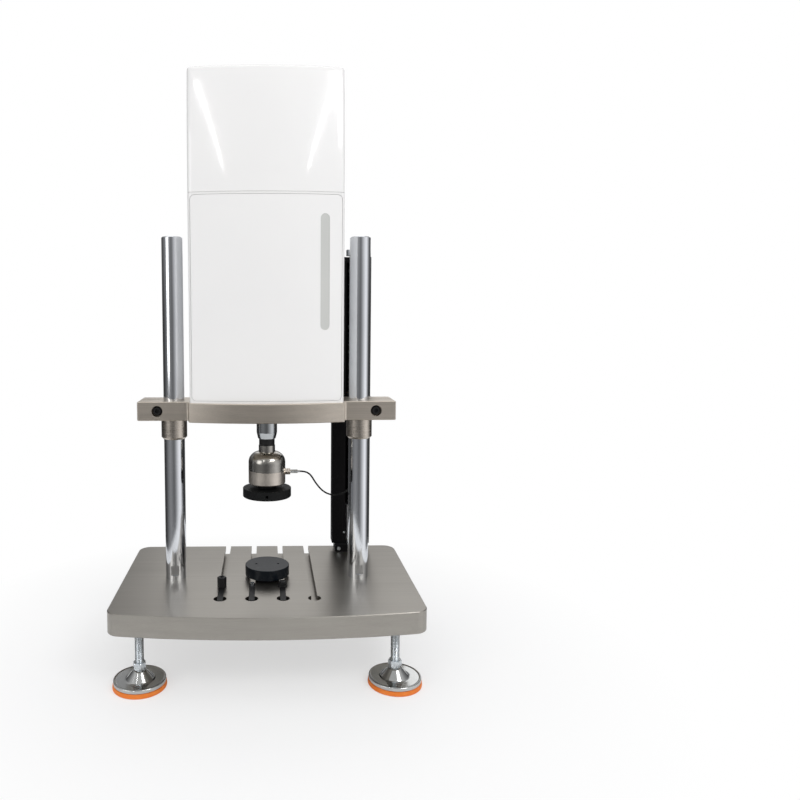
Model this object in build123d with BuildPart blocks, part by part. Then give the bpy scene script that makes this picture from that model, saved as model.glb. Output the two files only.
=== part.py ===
from build123d import *
import os
from math import cos, radians, sin, tan

# Twin-column mechanical testing machine with a T-slotted base, a clamped crosshead that carries
# a linear motor under a white cover, a load cell and two compression platens.
# Millimetres. Z up, the floor at z = 0, the middle of the base plate at x = y = 0, front at -Y.

os.makedirs("parts", exist_ok=True)

# Base plate
base_width = 705
base_depth = 475
base_thickness = 50
base_front_bow = 28
base_corner_radius = 30
base_edge_break = 1.5
floor_clearance = 132

# T-slots, open at the rear edge and ending in round entry holes
slot_count = 4
slot_pitch = 72
slot_neck_width = 14
slot_neck_depth = 12
slot_channel_width = 24
slot_channel_depth = 10
entry_diameter = 30
entry_ahead_of_columns = 140.5

# Columns
column_diameter = 50
column_beside_body = 43
column_height = 830
column_behind_middle = 8
column_tip_chamfer = 2
spigot_diameter = 40
column_thread_diameter = 36
column_thread_length = 37
column_nut_across = 55
column_nut_thickness = 29
column_washer_diameter = 66
column_washer_thickness = 5
spanner_flat_across = 46
spanner_flat_height = 24
spanner_flat_above_table = 11

# Crosshead
ear_beyond_column = 81
crosshead_thickness = 45
crosshead_above_table = 396
ear_depth = 100
body_width = 364
body_front_reach = 104
body_front_bow = 24
body_rear_reach = 100
inner_corner_radius = 8
body_corner_radius = 5
crosshead_edge_break = 1.5
clamp_slit = 4
clamp_screw_offset = 34

# Clamp screws
clamp_thread = 12
clamp_shank_hole = 13.5
clamp_flange_diameter = 24
clamp_flange_thickness = 3
clamp_head_diameter = 18
clamp_head_height = 12
clamp_socket_across = 10
clamp_socket_depth = 6
clamp_pocket_diameter = 26
clamp_pocket_depth = 17
clamp_thread_end_gap = 5

# Guide bushes
bush_diameter = 62
bush_length = 50
bush_spigot_diameter = 58
bush_spigot_length = 14
bush_chamfer = 5
bush_notch_width = 12
bush_notch_height = 3
bush_notch_depth = 5

# Actuator rod and its bearing
rod_diameter = 50
rod_bearing_diameter = 62
rod_below_crosshead = 50
rod_nose_diameter = 43
rod_nose_length = 14
rod_groove_width = 1.5
rod_groove_depth = 1
rod_above_motor_face = 358
rod_stud_diameter = 24
rod_stud_length = 36
stroke_half = 25

# Linear motor
motor_flange_width = 210
motor_flange_depth = 150
motor_flange_thickness = 15
motor_diameter = 144
motor_length = 340
motor_bore = 128
motor_fin_count = 24
motor_fin_depth = 5
motor_fin_width = 7
coil_length = 200
coil_inner_diameter = 86
coil_above_flange = 60
magnet_diameter = 80
magnet_length = 140
end_cap_thickness = 14
end_cap_dome_diameter = 76
end_cap_dome_height = 44
end_cap_wall = 4

# Cover and hood
cover_side_step = 2.5
cover_front_reach = 92
cover_front_bow = 18
cover_rear_reach = 92
cover_height = 480
cover_corner_radius = 10
cover_wall = 3
cover_front_wall = 6
seam_height = 1.5
seam_depth = 1.8
hood_height = 284
hood_lean = 17
hood_curve = 2.5
hood_steps = 5
hood_wall = 3
hood_top_radius = 7
hood_flange_width = 10
hood_flange_thickness = 4
hood_lip_depth = 12
hood_lip_wall = 3

# Front panel and its window
panel_margin_side = 5.5
panel_margin_bottom = 5
panel_margin_top = 4
panel_thickness = 3
panel_gap = 1
panel_corner_radius = 11
panel_ledge = 10
window_from_edge = 40
window_width = 21
window_length = 264
window_above_cover = 169
window_recess = 1
window_flange = 4
window_flange_thickness = 2

# Rear panel
rear_panel_margin = 24.5
rear_panel_height = 400
rear_panel_thickness = 2
rear_panel_above_cover = 50
rear_opening_margin = 16
louvre_rows = 14
louvre_pitch = 18
louvre_length = 110
louvre_height = 5
louvre_spacing = 136
rear_screw_diameter = 9
rear_screw_height = 2.5
rear_socket_diameter = 28
rear_socket_length = 14
rear_socket_bore = 20
rear_socket_bore_depth = 10
rear_socket_spacing = 90
rear_socket_above_panel = 38

# Lift post behind the right column
post_width = 102
post_depth = 44
post_wall = 3
post_slot = 30
post_height = 777.5
post_side_offset = 4
post_foot_height = 21.5
post_foot_width = 86
post_foot_lead = 7
post_foot_bolt_diameter = 10
post_foot_bolt_height = 5
post_foot_bolt_spacing = 66
post_block_height = 14
post_screw_diameter = 6
post_screw_height = 2
post_screw_side = 18
post_screw_above_table = 52

# Lift screw, its nut and drive
lift_screw_diameter = 16
lift_journal_diameter = 10
lift_knob_diameter = 28
lift_knob_height = 16
lift_knob_gap = 5
gearmotor_diameter = 36
gearmotor_length = 104
gearmotor_bore_depth = 18
lift_shoulder_gap = 4
lift_nut_diameter = 28
lift_nut_flange_gap = 1
lift_nut_flange_thickness = 6
lift_arm_width = 26
lift_arm_height = 34
lift_arm_ring_diameter = 36
arm_flange_width = 74
arm_flange_thickness = 12
arm_flange_height = 43

# Socket screws for the motor flange and the lift arm
socket_head_diameter = 13
socket_head_height = 8
socket_across = 6
socket_depth = 4

# Load cell
lock_nut_across = 36
lock_nut_thickness = 17
cell_diameter = 90
cell_neck_diameter = 40
cell_neck_height = 16
cell_dome_height = 26
cell_upper_height = 20
cell_base_height = 33
cell_groove_width = 1.2
cell_groove_depth = 1
cell_bottom_chamfer = 3
cell_socket_below_seam = 4

# Connector and cable
connector_flange_diameter = 16
connector_flange_length = 12
connector_seat_depth = 4
connector_seat_gap = 0.5
plug_diameter = 9
plug_length = 18
plug_tail_diameter = 6
plug_tail_length = 5
cable_diameter = 4
gland_diameter = 16
gland_length = 22
gland_nose_diameter = 10
gland_to_bush_gap = 3
gland_angle = 65

# Upper platen
upper_platen_diameter = 118
upper_platen_thickness = 21
upper_boss_diameter = 44
upper_boss_height = 10
platen_edge_break = 1
tommy_hole_diameter = 7
tommy_hole_depth = 18
tommy_hole_angle = 7

# Lower platen
lower_platen_diameter = 108
lower_platen_thickness = 25
lower_seat_diameter = 60
lower_seat_height = 6
pin_hole_diameter = 6
pin_hole_depth = 8
pin_hole_spacing = 54
platen_stud_diameter = 16
platen_stud_in_base = 30
platen_stud_in_platen = 20

# T-bars, nuts and the middle screw
t_bar_length = 105
t_bar_lead = 8.5
t_bar_recess = 1
t_nut_left_across = 19
t_nut_left_height = 24
t_nut_left_bore = 10
t_nut_left_along = 81
t_nut_right_diameter = 23
t_nut_right_across = 16
t_nut_right_flange = 4
t_nut_right_height = 12
t_nut_right_along = 82
t_thread_diameter = 8
t_thread_depth = 12
t_screw_head_diameter = 10
t_screw_head_height = 4
t_screw_along = 98

# Levelling feet
foot_inset_side = 66.5
foot_inset_end = 65.5
foot_stud_diameter = 20
foot_stud_in_base = 30
foot_stud_headroom = 10
foot_hex_across = 26
foot_hex_height = 16
foot_ball_diameter = 16
foot_neck_diameter = 13
foot_pad_diameter = 121
foot_pad_thickness = 10
foot_disc_diameter = 117
foot_disc_height = 9
foot_rim_roll = 3.5
foot_dish_depth = 1.2
foot_cone_diameter = 62
foot_cone_top_diameter = 30
foot_cone_height = 19
foot_hole_diameter = 12
foot_hole_radius = 42

# Clearances
running_fit = 0.05
slide_gap = 0.3
screw_gap = 0.25

# Heights and places worked out from the sizes above
table_top = floor_clearance + base_thickness
column_side = body_width / 2 + column_beside_body
column_y = column_behind_middle
crosshead_width = 2 * (column_side + ear_beyond_column)
cover_width = body_width - 2 * cover_side_step
panel_width = cover_width - 2 * panel_margin_side
window_side = panel_width / 2 - window_from_edge
rear_panel_width = cover_width - 2 * rear_panel_margin
cross_bottom = table_top + crosshead_above_table
cross_top = cross_bottom + crosshead_thickness
cross_middle = cross_bottom + crosshead_thickness / 2
cover_top = cross_top + cover_height
rod_bottom = cross_bottom - rod_below_crosshead
cell_top = rod_bottom - lock_nut_thickness
cell_seam = cell_top - cell_neck_height - cell_dome_height - cell_upper_height
cell_bottom = cell_seam - cell_base_height
cell_side = cell_diameter / 2
connector_z = cell_seam - cell_socket_below_seam
connector_seat = cell_side - connector_seat_depth
upper_platen_top = cell_bottom - upper_boss_height
post_x = column_side + post_side_offset
post_back = base_depth / 2
post_front = post_back - post_depth
post_bottom = table_top + post_foot_height
post_top = post_bottom + post_height
screw_y = post_back - post_depth / 2
entry_y = column_y - entry_ahead_of_columns
slot_depth = slot_neck_depth + slot_channel_depth
foot_side = base_width / 2 - foot_inset_side
foot_reach = base_depth / 2 - foot_inset_end
slot_first = -slot_pitch * (slot_count - 1) / 2
t_bar_start = entry_y - t_bar_lead
t_nut_left_y = t_bar_start + t_nut_left_along
t_screw_y = t_bar_start + t_screw_along
t_nut_right_y = t_bar_start + t_nut_right_along
motor_base = cross_top + motor_flange_thickness
gearmotor_top = post_bottom + gearmotor_length


def bowed_outline(width, front_reach, bow, rear_reach, centre_y=0):
    """Line of a plan outline with straight sides and back and an arc across the front."""
    half = width / 2
    front = centre_y - front_reach
    rear = centre_y + rear_reach
    with BuildLine() as outline:
        ThreePointArc((-half, front + bow), (0, front), (half, front + bow))
        Polyline((half, front + bow), (half, rear), (-half, rear), (-half, front + bow))
    return outline.line


def arc_radius(width, bow):
    """Radius of an arc from its chord and its height."""
    return ((width / 2) ** 2 + bow**2) / (2 * bow)


def connector_pocket():
    """Round pocket that gives the connector a flat seat on the side of the load cell."""
    with BuildPart() as pocket:
        with BuildSketch(Plane.YZ.offset(connector_seat)):
            with Locations((column_y, connector_z)):
                Circle(connector_flange_diameter / 2 + connector_seat_gap)
        extrude(amount=3 * connector_seat_depth)
    return pocket.part


def save(part, name):
    """Label a finished piece and write it to its own STEP file."""
    part.label = name
    export_step(part, f"parts/{name}.step")


# Base plate with T-slots, column holes, foot threads and the platen thread
with BuildPart() as base_plate:
    with BuildSketch(Plane.XY.offset(floor_clearance)) as base_sketch:
        add(bowed_outline(base_width, base_depth / 2, base_front_bow, base_depth / 2))
        make_face()
        fillet(base_sketch.vertices(), base_corner_radius)
    extrude(amount=base_thickness)
    chamfer(base_plate.faces().sort_by(Axis.Z)[-1].edges(), base_edge_break)
    chamfer(base_plate.faces().sort_by(Axis.Z)[0].edges(), base_edge_break)
    slot_run = base_depth / 2 - entry_y
    slot_spots = [(slot_first + slot_pitch * i, entry_y + slot_run / 2) for i in range(slot_count)]
    with BuildSketch(Plane.XY.offset(table_top)):
        with Locations(*slot_spots):
            Rectangle(slot_neck_width, slot_run)
    extrude(amount=-slot_depth, mode=Mode.SUBTRACT)
    with BuildSketch(Plane.XY.offset(table_top - slot_depth)):
        with Locations(*slot_spots):
            Rectangle(slot_channel_width, slot_run)
    extrude(amount=slot_channel_depth, mode=Mode.SUBTRACT)
    with BuildSketch(Plane.XY.offset(table_top)):
        with Locations(*[(slot_first + slot_pitch * i, entry_y) for i in range(slot_count)]):
            Circle(entry_diameter / 2)
    extrude(amount=-slot_depth, mode=Mode.SUBTRACT)
    with Locations(Plane.XY.offset(table_top)):
        with Locations((-column_side, column_y), (column_side, column_y)):
            Hole(spigot_diameter / 2 + running_fit, depth=base_thickness)
        with Locations((0, column_y)):
            Hole(platen_stud_diameter / 2 + running_fit, depth=platen_stud_in_base)
    with BuildSketch(Plane.XY.offset(floor_clearance)):
        with GridLocations(2 * foot_side, 2 * foot_reach, 2, 2):
            Circle(foot_stud_diameter / 2 + running_fit)
    extrude(amount=foot_stud_in_base + foot_stud_headroom, mode=Mode.SUBTRACT)
save(base_plate.part, "base_plate")

# Columns: a shoulder stands on the table and a threaded tail passes through it
for side, x in (("left", -column_side), ("right", column_side)):
    with BuildPart() as column:
        with BuildSketch(Plane.XY.offset(table_top)):
            with Locations((x, column_y)):
                Circle(column_diameter / 2)
        extrude(amount=column_height)
        chamfer(column.faces().sort_by(Axis.Z)[-1].edges(), column_tip_chamfer)
        with BuildSketch(Plane.XY.offset(table_top)):
            with Locations((x, column_y)):
                Circle(spigot_diameter / 2)
        extrude(amount=-base_thickness)
        with BuildSketch(Plane.XY.offset(floor_clearance)):
            with Locations((x, column_y)):
                Circle(column_thread_diameter / 2)
        extrude(amount=-column_thread_length)
        flat_middle = table_top + spanner_flat_above_table + spanner_flat_height / 2
        with BuildSketch(Plane.XY.offset(flat_middle)):
            with Locations((x, column_y)):
                Rectangle(2 * column_diameter, 2 * column_diameter)
                Rectangle(3 * column_diameter, spanner_flat_across, mode=Mode.SUBTRACT)
        extrude(amount=spanner_flat_height / 2, both=True, mode=Mode.SUBTRACT)
    save(column.part, f"column_{side}")

# Nuts and washers under the base
with BuildPart() as column_nuts:
    with BuildSketch(Plane.XY.offset(floor_clearance)):
        with Locations((-column_side, column_y), (column_side, column_y)):
            Circle(column_washer_diameter / 2)
            Circle(column_thread_diameter / 2 + running_fit, mode=Mode.SUBTRACT)
    extrude(amount=-column_washer_thickness)
    with BuildSketch(Plane.XY.offset(floor_clearance - column_washer_thickness)):
        with Locations((-column_side, column_y), (column_side, column_y)):
            RegularPolygon(column_nut_across / 2, 6, major_radius=False)
            Circle(column_thread_diameter / 2 + running_fit, mode=Mode.SUBTRACT)
    extrude(amount=-column_nut_thickness)
save(column_nuts.part, "column_nuts")

# Lower platen with its seat, spanner holes and the bore for its stud
lower_platen_bottom = table_top + lower_seat_height
with BuildPart() as lower_platen:
    with BuildSketch(Plane.XY.offset(table_top)):
        with Locations((0, column_y)):
            Circle(lower_seat_diameter / 2)
    extrude(amount=lower_seat_height)
    with BuildSketch(Plane.XY.offset(lower_platen_bottom)):
        with Locations((0, column_y)):
            Circle(lower_platen_diameter / 2)
    extrude(amount=lower_platen_thickness)
    rims = lower_platen.edges().filter_by(GeomType.CIRCLE).group_by(SortBy.LENGTH)[-1]
    chamfer(rims, platen_edge_break)
    with Locations(Plane.XY.offset(lower_platen_bottom + lower_platen_thickness)):
        with Locations((-pin_hole_spacing / 2, column_y), (pin_hole_spacing / 2, column_y)):
            Hole(pin_hole_diameter / 2, depth=pin_hole_depth)
    with BuildSketch(Plane.XY.offset(table_top)):
        with Locations((0, column_y)):
            Circle(platen_stud_diameter / 2 + running_fit)
    extrude(amount=platen_stud_in_platen, mode=Mode.SUBTRACT)
save(lower_platen.part, "lower_platen")

with BuildPart() as platen_stud:
    with BuildSketch(Plane.XY.offset(table_top - platen_stud_in_base)):
        with Locations((0, column_y)):
            Circle(platen_stud_diameter / 2)
    extrude(amount=platen_stud_in_base + platen_stud_in_platen)
save(platen_stud.part, "platen_stud")

# T-bars in three of the slots, each with a threaded hole for what it carries
t_bar_y = t_bar_start + t_bar_length / 2
t_clamps = (
    ("left", slot_first, t_nut_left_y),
    ("middle", slot_first + slot_pitch, t_screw_y),
    ("right", slot_first + 2 * slot_pitch, t_nut_right_y),
)
for name, x, thread_y in t_clamps:
    with BuildPart() as t_bar:
        with BuildSketch(Plane.XY.offset(table_top - slot_depth)):
            with Locations((x, t_bar_y)):
                Rectangle(slot_channel_width - 2 * slide_gap, t_bar_length)
        extrude(amount=slot_channel_depth - slide_gap)
        with BuildSketch(Plane.XY.offset(table_top - slot_depth)):
            with Locations((x, t_bar_y)):
                Rectangle(slot_neck_width - 2 * slide_gap, t_bar_length)
        extrude(amount=slot_depth - t_bar_recess)
        with Locations(Plane.XY.offset(table_top - t_bar_recess)):
            with Locations((x, thread_y)):
                Hole(t_thread_diameter / 2 + running_fit, depth=t_thread_depth)
    save(t_bar.part, f"t_bar_{name}")

# Tall hexagon nut on its own stud in the left slot
with BuildPart() as t_nut_left:
    with BuildSketch(Plane.XY.offset(table_top)):
        with Locations((slot_first, t_nut_left_y)):
            RegularPolygon(t_nut_left_across / 2, 6, major_radius=False)
    extrude(amount=t_nut_left_height)
    chamfer(t_nut_left.faces().sort_by(Axis.Z)[-1].edges(), platen_edge_break)
    with Locations(Plane.XY.offset(table_top + t_nut_left_height)):
        with Locations((slot_first, t_nut_left_y)):
            Hole(t_nut_left_bore / 2, depth=t_nut_left_height / 2)
    with BuildSketch(Plane.XY.offset(table_top)):
        with Locations((slot_first, t_nut_left_y)):
            Circle(t_thread_diameter / 2)
    extrude(amount=-(t_thread_depth + t_bar_recess - screw_gap))
save(t_nut_left.part, "t_nut_left")

# Small screw in the middle bar
with BuildPart() as t_screw_middle:
    with BuildSketch(Plane.XY.offset(table_top - t_bar_recess)):
        with Locations((slot_first + slot_pitch, t_screw_y)):
            Circle(t_screw_head_diameter / 2)
    extrude(amount=t_screw_head_height)
    with BuildSketch(Plane.XY.offset(table_top - t_bar_recess)):
        with Locations((slot_first + slot_pitch, t_screw_y)):
            Circle(t_thread_diameter / 2)
    extrude(amount=-(t_thread_depth - screw_gap))
    with BuildSketch(Plane.XY.offset(table_top - t_bar_recess + t_screw_head_height)):
        with Locations((slot_first + slot_pitch, t_screw_y)):
            RegularPolygon(t_screw_head_diameter / 4, 6, major_radius=False)
    extrude(amount=-t_screw_head_height / 2, mode=Mode.SUBTRACT)
save(t_screw_middle.part, "t_screw_middle")

# Flanged nut in the right slot
with BuildPart() as t_nut_right:
    with BuildSketch(Plane.XY.offset(table_top)):
        with Locations((slot_first + 2 * slot_pitch, t_nut_right_y)):
            Circle(t_nut_right_diameter / 2)
    extrude(amount=t_nut_right_flange)
    with BuildSketch(Plane.XY.offset(table_top + t_nut_right_flange)):
        with Locations((slot_first + 2 * slot_pitch, t_nut_right_y)):
            RegularPolygon(t_nut_right_across / 2, 6, major_radius=False)
    extrude(amount=t_nut_right_height - t_nut_right_flange)
    with BuildSketch(Plane.XY.offset(table_top)):
        with Locations((slot_first + 2 * slot_pitch, t_nut_right_y)):
            Circle(t_thread_diameter / 2)
    extrude(amount=-(t_thread_depth + t_bar_recess - screw_gap))
save(t_nut_right.part, "t_nut_right")

# Lift post: a channel with a slot up its front for the lift arm
with BuildPart() as lift_post:
    with BuildSketch(Plane.XY.offset(post_bottom)):
        with Locations((post_x, screw_y)):
            Rectangle(post_width, post_depth)
            Rectangle(post_width - 2 * post_wall, post_depth - 2 * post_wall, mode=Mode.SUBTRACT)
        with Locations((post_x, post_front)):
            Rectangle(post_slot, 4 * post_wall, mode=Mode.SUBTRACT)
    extrude(amount=post_height)
    post_corners = lift_post.edges().filter_by(Axis.Z).filter_by(
        lambda edge: abs(abs(edge.center().X - post_x) - post_width / 2) < running_fit
    )
    fillet(post_corners, post_wall - 1)
save(lift_post.part, "lift_post")

foot_depth = post_depth + post_foot_lead
foot_bolt_y = post_front - post_foot_lead / 2 - running_fit
with BuildPart() as post_foot:
    with BuildSketch(Plane.XY.offset(table_top)):
        with Locations((post_x, post_back - foot_depth / 2)):
            Rectangle(post_foot_width, foot_depth)
    extrude(amount=post_foot_height)
    chamfer(post_foot.faces().sort_by(Axis.Y)[0].edges().sort_by(Axis.Z)[-1], post_foot_lead / 2)
save(post_foot.part, "post_foot")

# Screw heads on the front of the foot and of the post
with BuildPart() as post_screws:
    with BuildSketch(Plane.XZ.offset(-(post_front - post_foot_lead))):
        with Locations((post_x, table_top + post_foot_height / 2 - 1)):
            with GridLocations(post_foot_bolt_spacing, 1, 2, 1):
                Circle(post_foot_bolt_diameter / 2)
    extrude(amount=post_foot_bolt_height)
    with BuildSketch(Plane.XZ.offset(-post_front)):
        with Locations((post_x, table_top + post_screw_above_table)):
            with GridLocations(2 * post_screw_side, 1, 2, 1):
                Circle(post_screw_diameter / 2)
    extrude(amount=post_screw_height)
save(post_screws.part, "post_screws")

# Bearing block that closes the top of the post
with BuildPart() as post_bearing_block:
    with BuildSketch(Plane.XY.offset(post_top)):
        with Locations((post_x, screw_y)):
            Rectangle(post_width - 2 * post_wall, post_depth - 2 * post_wall)
            Circle(lift_journal_diameter / 2 + running_fit, mode=Mode.SUBTRACT)
    extrude(amount=-post_block_height)
save(post_bearing_block.part, "post_bearing_block")

with BuildPart() as lift_gearmotor:
    with BuildSketch(Plane.XY.offset(post_bottom)):
        with Locations((post_x, screw_y)):
            Circle(gearmotor_diameter / 2)
    extrude(amount=gearmotor_length)
    chamfer(lift_gearmotor.faces().sort_by(Axis.Z)[-1].edges(), platen_edge_break)
    with Locations(Plane.XY.offset(gearmotor_top)):
        with Locations((post_x, screw_y)):
            Hole(lift_journal_diameter / 2 + running_fit, depth=gearmotor_bore_depth)
save(lift_gearmotor.part, "lift_gearmotor")

# Lift screw with its two journals and the knob on top
screw_bottom = gearmotor_top + lift_shoulder_gap
screw_top = post_top - post_block_height - slide_gap
knob_bottom = post_top + lift_knob_gap
with BuildPart() as lift_screw:
    with BuildSketch(Plane.XY.offset(screw_bottom)):
        with Locations((post_x, screw_y)):
            Circle(lift_screw_diameter / 2)
    extrude(amount=screw_top - screw_bottom)
    with BuildSketch(Plane.XY.offset(gearmotor_top - gearmotor_bore_depth + slide_gap)):
        with Locations((post_x, screw_y)):
            Circle(lift_journal_diameter / 2)
    extrude(amount=gearmotor_bore_depth - slide_gap + lift_shoulder_gap)
    with BuildSketch(Plane.XY.offset(screw_top)):
        with Locations((post_x, screw_y)):
            Circle(lift_journal_diameter / 2)
    extrude(amount=knob_bottom - screw_top)
    with BuildSketch(Plane.XY.offset(knob_bottom)):
        with Locations((post_x, screw_y)):
            Circle(lift_knob_diameter / 2)
    extrude(amount=lift_knob_height)
    chamfer(lift_screw.faces().sort_by(Axis.Z)[-1].edges(), platen_edge_break)
save(lift_screw.part, "lift_screw")

# Crosshead: one plate whose ears clamp the columns and whose bowed body carries the motor
with BuildPart() as crosshead:
    with BuildSketch(Plane.XY.offset(cross_bottom)) as cross_sketch:
        add(bowed_outline(body_width, body_front_reach, body_front_bow, body_rear_reach, column_y))
        make_face()
        fillet(cross_sketch.vertices(), body_corner_radius)
        with Locations((0, column_y)):
            Rectangle(crosshead_width, ear_depth)
        inner_corners = cross_sketch.vertices().filter_by(
            lambda v: abs(abs(v.X) - body_width / 2) < 1
            and abs(abs(v.Y - column_y) - ear_depth / 2) < 1
        )
        fillet(inner_corners, inner_corner_radius)
        ends = cross_sketch.vertices().filter_by(lambda v: abs(abs(v.X) - crosshead_width / 2) < 1)
        fillet(ends, body_corner_radius / 2)
    extrude(amount=crosshead_thickness)
    chamfer(crosshead.faces().sort_by(Axis.Z)[-1].edges(), crosshead_edge_break)
    chamfer(crosshead.faces().sort_by(Axis.Z)[0].edges(), crosshead_edge_break)
    with Locations(Plane.XY.offset(cross_top)):
        with Locations((-column_side, column_y), (column_side, column_y)):
            Hole(column_diameter / 2 + running_fit, depth=crosshead_thickness)
        with Locations((0, column_y)):
            Hole(rod_bearing_diameter / 2, depth=crosshead_thickness)
    with BuildSketch(Plane.XY.offset(cross_bottom)):
        with Locations((-column_side, column_y), (column_side, column_y)):
            Circle(bush_spigot_diameter / 2)
    extrude(amount=bush_spigot_length, mode=Mode.SUBTRACT)
    slit_length = crosshead_width / 2 - column_side
    slit_x = column_side + slit_length / 2
    with BuildSketch(Plane.XY.offset(cross_middle)):
        with Locations((-slit_x, column_y), (slit_x, column_y)):
            Rectangle(slit_length + 1, clamp_slit)
    extrude(amount=crosshead_thickness, both=True, mode=Mode.SUBTRACT)
    ear_front = column_y - ear_depth / 2
    clamp_x = column_side + clamp_screw_offset
    with BuildSketch(Plane.XZ.offset(-ear_front)):
        with Locations((-clamp_x, cross_middle), (clamp_x, cross_middle)):
            Circle(clamp_pocket_diameter / 2)
    extrude(amount=-clamp_pocket_depth, mode=Mode.SUBTRACT)
    with BuildSketch(Plane.XZ.offset(-ear_front)):
        with Locations((-clamp_x, cross_middle), (clamp_x, cross_middle)):
            Circle(clamp_shank_hole / 2)
    extrude(amount=-ear_depth / 2, mode=Mode.SUBTRACT)
    with BuildSketch(Plane.XZ.offset(-column_y)):
        with Locations((-clamp_x, cross_middle), (clamp_x, cross_middle)):
            Circle(clamp_thread / 2 + running_fit)
    extrude(amount=-(ear_depth / 2 - clamp_thread_end_gap), mode=Mode.SUBTRACT)
save(crosshead.part, "crosshead")

# Clamp screws
clamp_seat_y = ear_front + clamp_pocket_depth
clamp_tip_y = column_y + ear_depth / 2 - clamp_thread_end_gap - slide_gap
for side, x in (("left", -clamp_x), ("right", clamp_x)):
    with BuildPart() as clamp_screw:
        with BuildSketch(Plane.XZ.offset(-clamp_seat_y)):
            with Locations((x, cross_middle)):
                Circle(clamp_flange_diameter / 2)
        extrude(amount=clamp_flange_thickness)
        with BuildSketch(Plane.XZ.offset(-(clamp_seat_y - clamp_flange_thickness))):
            with Locations((x, cross_middle)):
                Circle(clamp_head_diameter / 2)
        extrude(amount=clamp_head_height)
        chamfer(clamp_screw.faces().sort_by(Axis.Y)[0].edges(), platen_edge_break)
        with BuildSketch(Plane.XZ.offset(-(clamp_seat_y - clamp_flange_thickness - clamp_head_height))):
            with Locations((x, cross_middle)):
                RegularPolygon(clamp_socket_across / 2, 6, major_radius=False)
        extrude(amount=-clamp_socket_depth, mode=Mode.SUBTRACT)
        with BuildSketch(Plane.XZ.offset(-clamp_seat_y)):
            with Locations((x, cross_middle)):
                Circle(clamp_thread / 2)
        extrude(amount=-(clamp_tip_y - clamp_seat_y))
    save(clamp_screw.part, f"clamp_screw_{side}")

# Guide bushes hang under the ears on pressed spigots
for side, x in (("left", -column_side), ("right", column_side)):
    with BuildPart() as guide_bush:
        with BuildSketch(Plane.XY.offset(cross_bottom)):
            with Locations((x, column_y)):
                Circle(bush_diameter / 2)
        extrude(amount=-bush_length)
        chamfer(guide_bush.faces().sort_by(Axis.Z)[0].edges(), bush_chamfer)
        with BuildSketch(Plane.XY.offset(cross_bottom)):
            with Locations((x, column_y)):
                Circle(bush_spigot_diameter / 2)
        extrude(amount=bush_spigot_length)
        with Locations(Plane.XY.offset(cross_bottom + bush_spigot_length)):
            with Locations((x, column_y)):
                Hole(column_diameter / 2 + running_fit, depth=bush_length + bush_spigot_length)
        with BuildSketch(Plane.XY.offset(cross_bottom)):
            with Locations((x, column_y - bush_diameter / 2)):
                Rectangle(bush_notch_width, 2 * bush_notch_depth)
        extrude(amount=-bush_notch_height, mode=Mode.SUBTRACT)
    save(guide_bush.part, f"guide_bush_{side}")

# Bronze bearing that guides the rod through the crosshead
with BuildPart() as rod_bearing:
    with BuildSketch(Plane.XY.offset(cross_bottom)):
        with Locations((0, column_y)):
            Circle(rod_bearing_diameter / 2)
            Circle(rod_diameter / 2 + running_fit, mode=Mode.SUBTRACT)
    extrude(amount=crosshead_thickness)
save(rod_bearing.part, "rod_bearing")

# Lift arm: bolted to the back of the right ear, its ring holds the lift nut inside the post
ear_back = column_y + ear_depth / 2
arm_bottom = cross_middle - lift_arm_height / 2
with BuildPart() as lift_arm:
    with BuildSketch(Plane.XZ.offset(-ear_back)):
        with Locations((post_x, cross_middle)):
            RectangleRounded(arm_flange_width, arm_flange_height, body_corner_radius)
    extrude(amount=-arm_flange_thickness)
    with BuildSketch(Plane.XY.offset(arm_bottom)):
        with Locations((post_x, (ear_back + screw_y) / 2)):
            Rectangle(lift_arm_width, screw_y - ear_back)
        with Locations((post_x, screw_y)):
            Circle(lift_arm_ring_diameter / 2)
    extrude(amount=lift_arm_height)
    with BuildSketch(Plane.XY.offset(arm_bottom)):
        with Locations((post_x, screw_y)):
            Circle(lift_nut_diameter / 2)
    extrude(amount=lift_arm_height, mode=Mode.SUBTRACT)
save(lift_arm.part, "lift_arm")

with BuildPart() as lift_nut:
    with BuildSketch(Plane.XY.offset(arm_bottom)):
        with Locations((post_x, screw_y)):
            Circle(lift_nut_diameter / 2)
    extrude(amount=lift_arm_height)
    with BuildSketch(Plane.XY.offset(arm_bottom)):
        with Locations((post_x, screw_y)):
            Circle(post_depth / 2 - post_wall - lift_nut_flange_gap)
    extrude(amount=-lift_nut_flange_thickness)
    with BuildSketch(Plane.XY.offset(arm_bottom + lift_arm_height)):
        with Locations((post_x, screw_y)):
            Circle(lift_screw_diameter / 2 + running_fit)
    extrude(amount=-(lift_arm_height + lift_nut_flange_thickness), mode=Mode.SUBTRACT)
save(lift_nut.part, "lift_nut")

# Linear motor: flange and finned barrel, coil, end cap with a dome over the rod's end
with BuildPart() as motor_housing:
    with BuildSketch(Plane.XY.offset(cross_top)):
        with Locations((0, column_y)):
            RectangleRounded(motor_flange_width, motor_flange_depth, body_corner_radius)
    extrude(amount=motor_flange_thickness)
    with BuildSketch(Plane.XY.offset(motor_base)):
        with Locations((0, column_y)):
            Circle(motor_diameter / 2)
            with PolarLocations(motor_diameter / 2, motor_fin_count):
                Rectangle(2 * motor_fin_depth, motor_fin_width, mode=Mode.SUBTRACT)
    extrude(amount=motor_length)
    with BuildSketch(Plane.XY.offset(motor_base)):
        with Locations((0, column_y)):
            Circle(motor_bore / 2)
    extrude(amount=motor_length, mode=Mode.SUBTRACT)
    with BuildSketch(Plane.XY.offset(cross_top)):
        with Locations((0, column_y)):
            Circle(rod_diameter / 2 + 1)
    extrude(amount=motor_flange_thickness, mode=Mode.SUBTRACT)
save(motor_housing.part, "motor_housing")

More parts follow.
